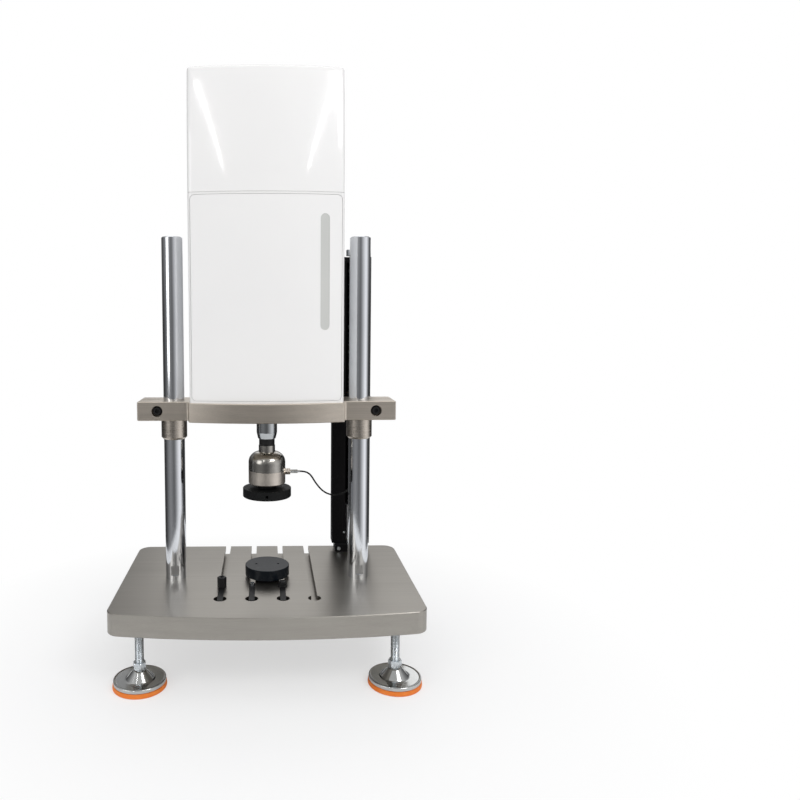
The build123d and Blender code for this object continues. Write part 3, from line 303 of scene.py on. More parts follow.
class Recipe:
    """Node tree of one material or of the world, with a single way to add a node."""

    def __init__(self, tree: bpy.types.NodeTree) -> None:
        """Start from an empty tree."""
        self.tree = tree
        self.tree.nodes.clear()

    def node(
        self,
        kind: str,
        settings: dict[str, Any] | None = None,
        inputs: dict[Any, Any] | None = None,
        output: str | int = 0,
    ) -> Signal:
        """Add a node.

        Args:
            kind: Blender's type of node.
            settings: Its own settings, set first; "stops" and "ease" shape a colour ramp.
            inputs: Values or signals for its sockets, by name or number.
            output: Socket to hand back.

        Returns:
            The chosen output as a signal.
        """
        made = self.tree.nodes.new(kind)
        for key, value in (settings or {}).items():
            if key == "stops":
                self._fill_ramp(made.color_ramp, value)
            elif key == "ease":
                made.color_ramp.interpolation = value
            else:
                setattr(made, key, value)
        for key, value in (inputs or {}).items():
            if isinstance(value, Signal):
                self.tree.links.new(value.socket, made.inputs[key])
            else:
                made.inputs[key].default_value = value
        outputs = made.outputs
        return Signal(self, outputs[output]) if len(outputs) else Signal(self, None)

    @staticmethod
    def _fill_ramp(ramp: bpy.types.ColorRamp, stops: Sequence[tuple[float, Colour]]) -> None:
        """Give a ramp exactly these stops."""
        while len(ramp.elements) > len(stops):
            ramp.elements.remove(ramp.elements[-1])
        while len(ramp.elements) < len(stops):
            ramp.elements.new(1.0)
        for element, (position, colour) in zip(ramp.elements, stops):
            element.position = position
            element.color = (*colour, 1.0)

    def place(self, scale: Point = (1, 1, 1), turn: Point = (0, 0, 0), move: Point = (0, 0, 0)) -> Signal:
        """Object coordinates, moved, turned and scaled."""
        where = self.node("ShaderNodeTexCoord", output="Object")
        return self.node(
            "ShaderNodeMapping",
            {"vector_type": "POINT"},
            {"Vector": where, "Scale": scale, "Rotation": turn, "Location": move},
        )

    def noise(self, where: Signal, scale: float, detail: float = 3, rough: float = 0.5) -> Signal:
        """Fractal noise from 0 to 1 at these coordinates."""
        return self.node(
            "ShaderNodeTexNoise",
            {"noise_dimensions": "3D"},
            {"Vector": where, "Scale": scale, "Detail": detail, "Roughness": rough},
            "Fac",
        )

    def blend(self, share: Signal | float, low: Any, high: Any) -> Signal:
        """Mix of two colours by a share."""
        return self.node(
            "ShaderNodeMix",
            {"data_type": "RGBA", "blend_type": "MIX"},
            {0: share, 6: rgba(low), 7: rgba(high)},
            2,
        )

    def bump(self, height: Signal, strength: float, distance: float) -> Signal:
        """Normal raised by a height signal; distance in metres."""
        return self.node(
            "ShaderNodeBump",
            {},
            {"Height": height, "Strength": strength, "Distance": distance},
        )

    def surface(self, **sockets: Any) -> None:
        """Principled surface with these sockets, joined to the material's output."""
        named = {key.replace("_", " "): value for key, value in sockets.items()}
        shader = self.node("ShaderNodeBsdfPrincipled", {}, named)
        self.node("ShaderNodeOutputMaterial", {}, {"Surface": shader})


def rgba(colour: Any) -> Any:
    """Three numbers as a colour with full alpha; a signal stays as it is."""
    return colour if isinstance(colour, Signal) else (*colour[:3], 1.0)


# Finishes


@dataclass(frozen=True)
class BrushedMetal:
    """Plate ground with long fine lines that run along one axis.

    Attributes:
        colour: Colour between the lines.
        dark: Colour in the lines and in the slow stains.
        along: Index of the axis that the lines follow.
        roughness: Mean roughness.
        lines: Lines for each metre across the grain.
    """

    colour: Colour
    dark: Colour
    along: int = 0
    roughness: float = 0.34
    lines: float = 900.0

    def build(self, recipe: Recipe) -> None:
        """Noise stretched along the grain gives lines in colour, roughness and bump."""
        scale = [self.lines] * 3
        scale[self.along] = 7.0
        grain = recipe.noise(recipe.place(tuple(scale)), 1.0, 4, 0.65)
        broad = [self.lines / 9] * 3
        broad[self.along] = 2.0
        bands = recipe.noise(recipe.place(tuple(broad)), 1.0, 3, 0.55)
        cloud = recipe.noise(recipe.place(), 5.0, 3, 0.5)
        mask = (grain * 0.45 + bands * 0.35 + cloud * 0.35).between(0.36, 0.80)
        tint = recipe.blend(mask, self.dark, self.colour)
        rough = (grain * 0.12 + cloud * 0.10) + (self.roughness - 0.11)
        recipe.surface(
            Base_Color=tint,
            Metallic=1.0,
            Roughness=rough,
            Normal=recipe.bump(grain, 0.16, 0.0002),
        )


@dataclass(frozen=True)
class PolishedMetal:
    """Ground and polished round bar, or bright plated sheet.

    Attributes:
        colour: Colour of its reflection.
        roughness: Roughness between the smears.
        rings: Turning marks for each metre of height.
        depth: Height of the turning marks in metres.
    """

    colour: Colour
    roughness: float = 0.07
    rings: float = 1800.0
    depth: float = 0.00003

    def build(self, recipe: Recipe) -> None:
        """Fine rings round the upright axis, and slow smears of oil in the roughness."""
        rings = recipe.noise(recipe.place((8.0, 8.0, self.rings)), 1.0, 3, 0.6)
        smear = recipe.noise(recipe.place((14.0, 14.0, 4.0)), 1.0, 4, 0.55)
        spots = recipe.noise(recipe.place(), 260.0, 2, 0.5).between(0.66, 0.80)
        tone = recipe.blend(
            smear.between(0.35, 0.70), tuple(0.90 * part for part in self.colour), self.colour
        )
        tint = recipe.blend(spots * 0.25, tone, tuple(0.62 * part for part in self.colour))
        rough = rings * 0.05 + smear * 0.07 + spots * 0.10 + (self.roughness - 0.05)
        recipe.surface(
            Base_Color=tint,
            Metallic=1.0,
            Roughness=rough,
            Normal=recipe.bump(rings, 0.10, self.depth),
        )


@dataclass(frozen=True)
class TurnedMetal:
    """Turned piece with satin plating: rings in height and faint mottling.

    Attributes:
        colour: Colour of the plating.
        dark: Colour of the mottles.
        roughness: Mean roughness.
        rings: Rings for each metre of height.
    """

    colour: Colour
    dark: Colour
    roughness: float = 0.30
    rings: float = 1400.0

    def build(self, recipe: Recipe) -> None:
        """Rings from noise squeezed in height, mottles from plain noise."""
        rings = recipe.noise(recipe.place((10.0, 10.0, self.rings)), 1.0, 4, 0.65)
        mottle = recipe.noise(recipe.place(), 70.0, 4, 0.6)
        tint = recipe.blend((rings * 0.5 + mottle * 0.5).between(0.34, 0.66), self.dark, self.colour)
        rough = rings * 0.14 + mottle * 0.10 + (self.roughness - 0.12)
        recipe.surface(
            Base_Color=tint,
            Metallic=1.0,
            Roughness=rough,
            Normal=recipe.bump(rings, 0.22, 0.0001),
        )


@dataclass(frozen=True)
class Enamel:
    """Smooth coat of paint or glossy plastic.

    Attributes:
        colour: Colour of the coat.
        shade: Slightly different colour that it drifts to.
        roughness: Roughness of the coat.
        coat: Weight of the clear layer.
        peel: Height of the orange-peel texture in metres.
        grain: Texture cells for each metre.
        specular: Strength of its mirror reflection.
    """

    colour: Colour
    shade: Colour
    roughness: float = 0.12
    coat: float = 0.6
    peel: float = 0.00004
    grain: float = 140.0
    specular: float = 0.5

    def build(self, recipe: Recipe) -> None:
        """Slow drift in colour, soft peel in the normal, finger marks in the roughness."""
        drift = recipe.noise(recipe.place(), 3.2, 3, 0.5)
        peel = recipe.noise(recipe.place(), self.grain, 2, 0.5)
        marks = recipe.noise(recipe.place((1.0, 1.0, 2.2)), 17.0, 4, 0.6)
        tint = recipe.blend(drift.between(0.35, 0.65), self.shade, self.colour)
        rough = marks * 0.08 + peel * 0.03 + (self.roughness - 0.05)
        recipe.surface(
            Base_Color=tint,
            Roughness=rough,
            Specular_IOR_Level=self.specular,
            Coat_Weight=self.coat,
            Coat_Roughness=0.05,
            Normal=recipe.bump(peel, 0.25, self.peel),
        )


@dataclass(frozen=True)
class DarkSteel:
    """Blackened or blued steel with an oily sheen.

    Attributes:
        colour: Main colour.
        worn: Colour of the rubbed places.
        roughness: Mean roughness.
        metallic: How far it reflects as metal.
        coat: Weight of the oil film.
        specular: Strength of its mirror reflection.
    """

    colour: Colour
    worn: Colour
    roughness: float = 0.42
    metallic: float = 0.55
    coat: float = 0.0
    specular: float = 0.4

    def build(self, recipe: Recipe) -> None:
        """Fine speckle and rubbed patches in the colour, grit in the normal."""
        speck = recipe.noise(recipe.place(), 900.0, 2, 0.6)
        rubbed = recipe.noise(recipe.place(), 38.0, 5, 0.65).between(0.56, 0.78)
        tint = recipe.blend(speck * 0.25 + rubbed * 0.55, self.colour, self.worn)
        rough = speck * 0.12 + rubbed * -0.10 + self.roughness
        recipe.surface(
            Base_Color=tint,
            Metallic=self.metallic,
            Roughness=rough,
            Specular_IOR_Level=self.specular,
            Coat_Weight=self.coat,
            Coat_Roughness=0.12,
            Normal=recipe.bump(speck, 0.20, 0.00008),
        )


@dataclass(frozen=True)
class MouldedRubber:
    """Rubber or matt plastic from a mould, with dust in its texture.

    Attributes:
        colour: Colour of the rubber.
        dust: Colour of the dusty or rubbed places.
        roughness: Mean roughness.
        grain: Texture cells for each metre.
        dusty: Share of dust.
        specular: Strength of its mirror reflection.
    """

    colour: Colour
    dust: Colour
    roughness: float = 0.55
    grain: float = 700.0
    dusty: float = 0.5
    specular: float = 0.4

    def build(self, recipe: Recipe) -> None:
        """Fine grain in the normal, dust in patches of the colour."""
        grain = recipe.noise(recipe.place(), self.grain, 3, 0.6)
        patch = recipe.noise(recipe.place(), 30.0, 4, 0.6).between(0.42, 0.76)
        tint = recipe.blend(patch * self.dusty + grain * 0.12, self.colour, self.dust)
        rough = grain * 0.14 + patch * 0.10 + (self.roughness - 0.10)
        recipe.surface(
            Base_Color=tint,
            Roughness=rough,
            Specular_IOR_Level=self.specular,
            Normal=recipe.bump(grain, 0.30, 0.0001),
        )


class Finish(Enum):
    """Every finish on the machine."""

    PLATE = BrushedMetal((0.42, 0.40, 0.365), (0.33, 0.31, 0.28))
    CROSSHEAD = BrushedMetal((0.74, 0.665, 0.58), (0.54, 0.49, 0.42), roughness=0.38)
    COLUMN = PolishedMetal((0.80, 0.82, 0.85), roughness=0.10)
    ROD = PolishedMetal((0.50, 0.52, 0.53), roughness=0.08)
    PRESSED = PolishedMetal((0.62, 0.63, 0.62), roughness=0.12, rings=300.0)
    BUSH = TurnedMetal((0.66, 0.60, 0.53), (0.50, 0.45, 0.39), roughness=0.28)
    DOME = TurnedMetal((0.44, 0.425, 0.39), (0.36, 0.345, 0.32), roughness=0.20)
    NICKEL = TurnedMetal((0.70, 0.64, 0.57), (0.58, 0.53, 0.47), roughness=0.36)
    ZINC = TurnedMetal((0.78, 0.82, 0.85), (0.60, 0.64, 0.67), roughness=0.26)
    BRONZE = TurnedMetal((0.62, 0.42, 0.20), (0.44, 0.28, 0.12), roughness=0.32)
    COPPER = TurnedMetal((0.62, 0.30, 0.16), (0.40, 0.18, 0.09), roughness=0.38, rings=900.0)
    MAGNET = TurnedMetal((0.46, 0.47, 0.49), (0.34, 0.35, 0.37), roughness=0.25)
    ALUMINIUM = BrushedMetal((0.62, 0.63, 0.64), (0.50, 0.51, 0.52), along=2, roughness=0.40)
    COVER = Enamel((0.91, 0.90, 0.89), (0.89, 0.88, 0.875))
    WINDOW = Enamel((0.60, 0.60, 0.58), (0.54, 0.55, 0.53), roughness=0.35, coat=0.1)
    PANEL = Enamel((0.66, 0.66, 0.68), (0.62, 0.62, 0.64), roughness=0.38, coat=0.1, grain=900.0)
    POST = Enamel(
        (0.003, 0.003, 0.0032),
        (0.005, 0.0045, 0.005),
        roughness=0.50,
        coat=0.0,
        grain=700.0,
        specular=0.08,
    )
    BLACK_OXIDE = DarkSteel((0.010, 0.010, 0.011), (0.030, 0.029, 0.028), metallic=0.3)
    UPPER_PLATEN = DarkSteel(
        (0.005, 0.0055, 0.0055),
        (0.012, 0.013, 0.013),
        roughness=0.50,
        metallic=0.15,
        specular=0.2,
    )
    NAVY = DarkSteel(
        (0.002, 0.004, 0.007),
        (0.006, 0.011, 0.018),
        roughness=0.32,
        metallic=0.15,
        coat=0.12,
        specular=0.25,
    )
    PAD = MouldedRubber((0.80, 0.19, 0.02), (0.84, 0.28, 0.05), roughness=0.48)
    CABLE = MouldedRubber(
        (0.006, 0.006, 0.006), (0.020, 0.020, 0.020), roughness=0.50, dusty=0.3, specular=0.2
    )
    PLUG = PolishedMetal((0.74, 0.76, 0.76), roughness=0.14, rings=300.0)
    SOCKET = MouldedRubber((0.015, 0.015, 0.016), (0.06, 0.06, 0.06), roughness=0.5, dusty=0.3)
    # Painted shade: dark reddish-brown for the cup in each foot's fixing hole, standing in for the shade
    # inside the hole.
    HOLE = DarkSteel((0.10, 0.025, 0.015), (0.16, 0.05, 0.03), roughness=0.5, metallic=0.3)


class Paintbox:
    """Makes each finish's material once and puts it on pieces."""

    def __init__(self) -> None:
        """Start with no materials."""
        self.made: dict[Finish, bpy.types.Material] = {}

    def material(self, finish: Finish) -> bpy.types.Material:
        """Material of a finish, built the first time that it is asked for."""
        if finish not in self.made:
            fresh = bpy.data.materials.new(finish.name.lower())
            fresh.use_nodes = True
            finish.value.build(Recipe(fresh.node_tree))
            self.made[finish] = fresh
        return self.made[finish]

    def coat(self, piece: Object, finish: Finish) -> Object:
        """Put one finish on the whole of a piece."""
        piece.data.materials.clear()
        piece.data.materials.append(self.material(finish))
        return piece


class Slot(Enum):
    """Names of the record's material slots, handed to dress() with each new piece."""

    PAD = "pad_orange"
    DISC = "pressed_chrome"
    STUD = "zinc_steel"
    CABLE = "cable_dark"
    COVER = "cover_white"


def dress(piece: Object, body: str, slot: Slot, *nodes: str) -> Object:
    """Let a new piece ride on a body and stand for CAD nodes, which are hidden.

    Args:
        piece: The new piece.
        body: CAD body that it moves with.
        slot: Its slot in the record; not used.
        nodes: CAD nodes that it stands for.
    """
    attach(piece, body)
    if nodes:
        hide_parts(*nodes)
    log.info("made %s on %s, %d faces", piece.name, body, len(piece.data.polygons))
    return piece


# Studio


@dataclass
class Studio:
    """Camera, floor, lamps and world.

    Attributes:
        eye: Camera position in metres.
        yaw: Turn of the camera to the right, in radians.
        pitch: Tilt of the camera downwards, in radians.
        roll: Turn about its own axis, in radians.
        lens: Focal length in millimetres.
        sensor: Width of the sensor in millimetres.
        shift: Lens shift to the right and up, in frame widths.
        low_ring: Room as metal sees it level and below, by bearing in degrees.
        high_ring: Room as metal sees it above.
        ceiling: Brightness overhead.
        join: Rise, as a share of a look, over which the low ring gives way to the high one.
        ceiling_join: Rise over which the high ring gives way to the ceiling.
        cool: How much stronger blue is than the other colours in the rings.
        even_light: Strength of the plain light that falls on matt surfaces.
        floor_radius: Radius of the floor in metres.
        floor_drop: How far the floor lies under the pads.
        floor_lift: Share of plain white in the floor beside the machine.
        fade: Distances in metres between which the floor turns to plain white.
    """

    eye: Point = (-0.0018, -1.6835, 0.8187)
    yaw: float = 0.0156
    pitch: float = 0.0804
    roll: float = 0.0018
    lens: float = 31.5
    sensor: float = 36.0
    shift: Plane = (0.1541, -0.0315)
    low_ring: tuple[Plane, ...] = (
        (-180, 0.12), (-140, 0.05), (-112, 0.03), (-85, 0.10), (-48, 0.30), (-18, 0.17),
        (0, 0.12), (18, 0.26), (46, 0.80), (66, 1.10), (84, 0.60),
        (104, 0.05), (126, 0.02), (150, 0.08), (180, 0.12),
    )
    high_ring: tuple[Plane, ...] = (
        (-180, 0.42), (-135, 0.25), (-110, 0.16), (-80, 0.50), (-48, 0.70), (-20, 0.50),
        (-3, 0.10), (14, 0.60), (34, 0.90), (60, 1.05), (84, 0.45),
        (112, 0.20), (145, 0.35), (180, 0.42),
    )
    ceiling: float = 0.55
    join: Plane = (0.0, 0.34)
    ceiling_join: Plane = (0.45, 0.80)
    cool: float = 1.02
    even_light: float = 0.62
    floor_radius: float = 1.0
    floor_drop: float = 0.0004
    floor_lift: float = 0.55
    fade: Plane = (0.40, 0.95)

    def camera(self) -> None:
        """Camera at the photograph's viewing angle."""
        data = bpy.data.cameras.new("camera")
        data.lens = self.lens
        data.sensor_width = self.sensor
        data.shift_x, data.shift_y = self.shift
        data.clip_start, data.clip_end = 0.05, 60.0
        camera = bpy.data.objects.new("camera", data)
        camera.location = self.eye
        camera.rotation_mode = "XYZ"
        camera.rotation_euler = (math.pi / 2 - self.pitch, self.roll, -self.yaw)
        bpy.context.scene.collection.objects.link(camera)
        bpy.context.scene.camera = camera

    def lamp(self, name: str, at: Point, aim: Point, size: Plane, power: float) -> None:
        """Rectangular soft lamp.

        Args:
            name: Name of the lamp.
            at: Its position in metres.
            aim: Point that it faces.
            size: Width and height in metres.
            power: Watts.
        """
        data = bpy.data.lights.new(name, "AREA")
        data.shape = "RECTANGLE"
        data.size, data.size_y = size
        data.energy = power
        light = bpy.data.objects.new(name, data)
        light.location = at
        way = Vector(aim) - Vector(at)
        light.rotation_mode = "QUATERNION"
        light.rotation_quaternion = way.to_track_quat("-Z", "Y")
        bpy.context.scene.collection.objects.link(light)

    def tube(self, name: str, start: Point, end: Point, width: float, power: float) -> None:
        """Long narrow ceiling lamp from one point to another, facing down.

        Args:
            name: Name of the lamp.
            start: Middle of its nearer end in metres.
            end: Middle of its farther end.
            width: Width in metres.
            power: Watts.
        """
        a, b = Vector(start), Vector(end)
        data = bpy.data.lights.new(name, "AREA")
        data.shape = "RECTANGLE"
        data.size, data.size_y = width, (b - a).length
        data.energy = power
        light = bpy.data.objects.new(name, data)
        along = (b - a).normalized()
        plumb = Vector((0, 0, -1))
        down = (plumb - along * along.dot(plumb)).normalized()
        across = along.cross(-down)
        turn = Matrix((across, along, -down)).transposed()
        light.matrix_world = Matrix.Translation((a + b) / 2) @ turn.to_4x4()
        bpy.context.scene.collection.objects.link(light)

    def lamps(self) -> None:
        """Soft lamps in front, at the sides and above, and two ceiling tubes."""
        self.lamp("key", (1.7, -1.9, 2.5), (0.0, 0.0, 0.7), (1.1, 1.1), 27.0)
        self.lamp("fill", (-2.3, -1.9, 1.3), (0.0, 0.0, 0.6), (1.4, 1.8), 15.0)
        self.lamp("back", (0.4, 2.6, 1.8), (0.0, 0.0, 0.9), (2.4, 1.2), 8.0)
        self.lamp("top", (0.0, 0.2, 3.2), (0.0, 0.0, 0.6), (2.2, 2.2), 9.0)
        self.tube("tube_left", (-1.22, -2.1, 2.75), (-1.95, -6.6, 2.75), 0.10, 16.0)
        self.tube("tube_right", (1.22, -2.1, 2.75), (1.95, -6.6, 2.75), 0.10, 16.0)

    def world(self) -> None:
        """World that is white behind the machine and a soft room to light and metal.

        Seen in metal, the room is a ring of soft bands round the upright axis: one ring for
        what lies level or below, one for what lies above, joined over the first 20 degrees of
        rise, and a plain ceiling overhead.
        """
        world = bpy.data.worlds.new("room")
        world.use_nodes = True
        bpy.context.scene.world = world
        recipe = Recipe(world.node_tree)
        way = recipe.node("ShaderNodeTexCoord", output="Generated")
        x = recipe.node("ShaderNodeSeparateXYZ", {}, {"Vector": way}, "X")
        y = recipe.node("ShaderNodeSeparateXYZ", {}, {"Vector": way}, "Y")
        z = recipe.node("ShaderNodeSeparateXYZ", {}, {"Vector": way}, "Z")
        bearing = recipe.node("ShaderNodeMath", {"operation": "ARCTAN2"}, {0: x, 1: 0.0 - y})
        place = bearing * (0.5 / math.pi) + 0.5
        low = self.ring(recipe, place, self.low_ring)
        high = self.ring(recipe, place, self.high_ring)
        rings = recipe.blend(z.between(*self.join), low, high)
        room_glow = recipe.blend(z.between(*self.ceiling_join), rings, (self.ceiling,) * 3)
        path = recipe.node("ShaderNodeLightPath", output="Is Camera Ray")
        glossy = recipe.node("ShaderNodeLightPath", output="Is Glossy Ray")

        def background(colour: Any, strength: float) -> Signal:
            """Background of one colour and strength."""
            sockets = {"Color": rgba(colour), "Strength": strength}
            return recipe.node("ShaderNodeBackground", {}, sockets)

        soft = background((0.98, 0.99, 1.0), self.even_light)
        room = background(room_glow, 1.0)
        white = background((1.0, 1.0, 1.0), 1.0)
        lit = recipe.node("ShaderNodeMixShader", {}, {0: glossy, 1: soft, 2: room})
        both = recipe.node("ShaderNodeMixShader", {}, {0: path, 1: lit, 2: white})
        recipe.node("ShaderNodeOutputWorld", {}, {"Surface": both})

    def ring(self, recipe: Recipe, place: Signal, bands: Sequence[Plane]) -> Signal:
        """Ring of bands as a ramp over the bearing.

        Args:
            recipe: The world's tree.
            place: Bearing as a share of a turn, 0.5 at the camera's side.
            bands: Bearing in degrees, positive to the right, and brightness there.
        """
        stops = [((bearing + 180) / 360, (glow, glow, glow * self.cool)) for bearing, glow in bands]
        return recipe.node("ShaderNodeValToRGB", {"stops": stops, "ease": "B_SPLINE"}, {"Fac": place})

    def floor(self) -> None:
        """Round pale floor that keeps the machine's shadow and fades to white at its edge."""
        columns = 96
        angle = np.linspace(0, 2 * math.pi, columns, endpoint=False)
        x, y = self.floor_radius * np.cos(angle), self.floor_radius * np.sin(angle)
        rim = np.stack([x, y, np.zeros(columns)], axis=-1)
        points = np.concatenate([rim, [[0.0, 0.0, 0.0]]]) - np.array([0.0, 0.0, self.floor_drop])
        floor = make_piece("floor", points, [disc_faces(0, columns, columns, upward=True)])
        material = bpy.data.materials.new("floor")
        material.use_nodes = True
        recipe = Recipe(material.node_tree)
        where = recipe.node("ShaderNodeTexCoord", output="Object")
        away = recipe.node("ShaderNodeVectorMath", {"operation": "LENGTH"}, {0: where}, "Value")
        cloud = recipe.noise(where, 1.4, 3, 0.5)
        tint = recipe.blend(cloud.between(0.3, 0.7), (0.90, 0.90, 0.91), (0.94, 0.94, 0.94))
        shader = recipe.node("ShaderNodeBsdfPrincipled", {}, {"Base Color": tint, "Roughness": 0.75})
        glow = recipe.node("ShaderNodeEmission", {}, {"Color": rgba((1.0, 1.0, 1.0)), "Strength": 1.0})
        seen = recipe.node("ShaderNodeLightPath", output="Is Camera Ray")
        share = away.between(*self.fade) * (1 - self.floor_lift) + self.floor_lift
        lift = recipe.node("ShaderNodeMixShader", {}, {0: seen * share, 1: shader, 2: glow})
        recipe.node("ShaderNodeOutputMaterial", {}, {"Surface": lift})
        floor.data.materials.append(material)
        floor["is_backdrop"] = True

    def build(self) -> None:
        """Make the whole studio."""
        bpy.context.scene.view_settings.view_transform = "Standard"
        self.lamps()
        self.world()
        self.floor()


# Sub-assemblies


@dataclass
class SensorCable:
    """Cable from the load cell's plug to the gland under the right ear.

    Attributes:
        exit: Point where it leaves the plug, in millimetres.
        gland: Point where it enters the gland.
        shares: Shares of the way across and back to the gland, and rises above the exit.
        diameter: Its diameter in millimetres.
        length: Its length in metres; not used.
        short_of_gland: Distance on the gland's side; not used.
    """

    exit: Point = (80.0, 8.0, 445.0)
    gland: Point = (207.2503, 46.0649, 556.0)
    diameter: float = 4.0
    length: float = 0.345
    short_of_gland: float = 12.0
    shares: tuple[Point, ...] = (
        (0.000, 0.000, 0.0),
        (0.095, 0.000, 0.0),
        (0.212, 0.040, -8.0),
        (0.307, 0.210, -30.0),
        (0.456, 0.525, -55.0),
        (0.645, 0.970, -70.0),
        (0.882, 1.360, -71.0),
        (1.047, 1.470, -54.0),
        (1.078, 1.360, -17.0),
        (1.055, 1.180, 29.97),
        (1.000, 1.000, 75.48),
        (1.000, 1.000, 111.0),
    )

    @staticmethod
    def close(tube: bpy.types.Mesh) -> None:
        """Join the end caps to the tube's wall.

        Args:
            tube: The tube's mesh, changed in place.
        """
        joined = bmesh.new()
        joined.from_mesh(tube)
        bmesh.ops.remove_doubles(joined, verts=joined.verts, dist=1e-6)
        bmesh.ops.recalc_face_normals(joined, faces=joined.faces)
        joined.to_mesh(tube)
        joined.free()

    def line(self) -> Object:
        """Smooth spline whose control points are the route's points."""
        share = np.array(self.shares)
        start, gland = np.array(self.exit), np.array(self.gland)
        route = start + share
        route[:, :2] = start[:2] + share[:, :2] * (gland[:2] - start[:2])
        curve = bpy.data.curves.new("sensor_cable_line", "CURVE")
        curve.dimensions = "3D"
        curve.resolution_u = 10
        spline = curve.splines.new("NURBS")
        spline.points.add(len(route) - 1)
        weights = np.ones((len(route), 1))
        spline.points.foreach_set("co", np.hstack([route * MM, weights]).ravel())
        spline.order_u = 3
        spline.use_endpoint_u = True
        return bpy.data.objects.new("sensor_cable_line", curve)

    def build(self, paint: Paintbox) -> None:
        """Tube round the line, baked into place in the machine's frame."""
        line = self.line()
        curve = line.data
        centres = bpy.data.meshes.new_from_object(line)
        curve.bevel_depth = self.diameter * MM / 2
        curve.bevel_resolution = 4
        curve.use_fill_caps = True
        tube = bpy.data.meshes.new_from_object(line)
        self.close(tube)
        tube.shade_smooth()
        bpy.data.meshes.remove(centres)
        bpy.data.objects.remove(line)
        cable = bpy.data.objects.new("sensor_cable", tube)
        bpy.context.scene.collection.objects.link(cable)
        paint.coat(cable, Finish.CABLE)
        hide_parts("load_cell_cable")
        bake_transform(cable)
        log.info("made %s between actuator and crosshead, %d faces", cable.name, len(tube.polygons))


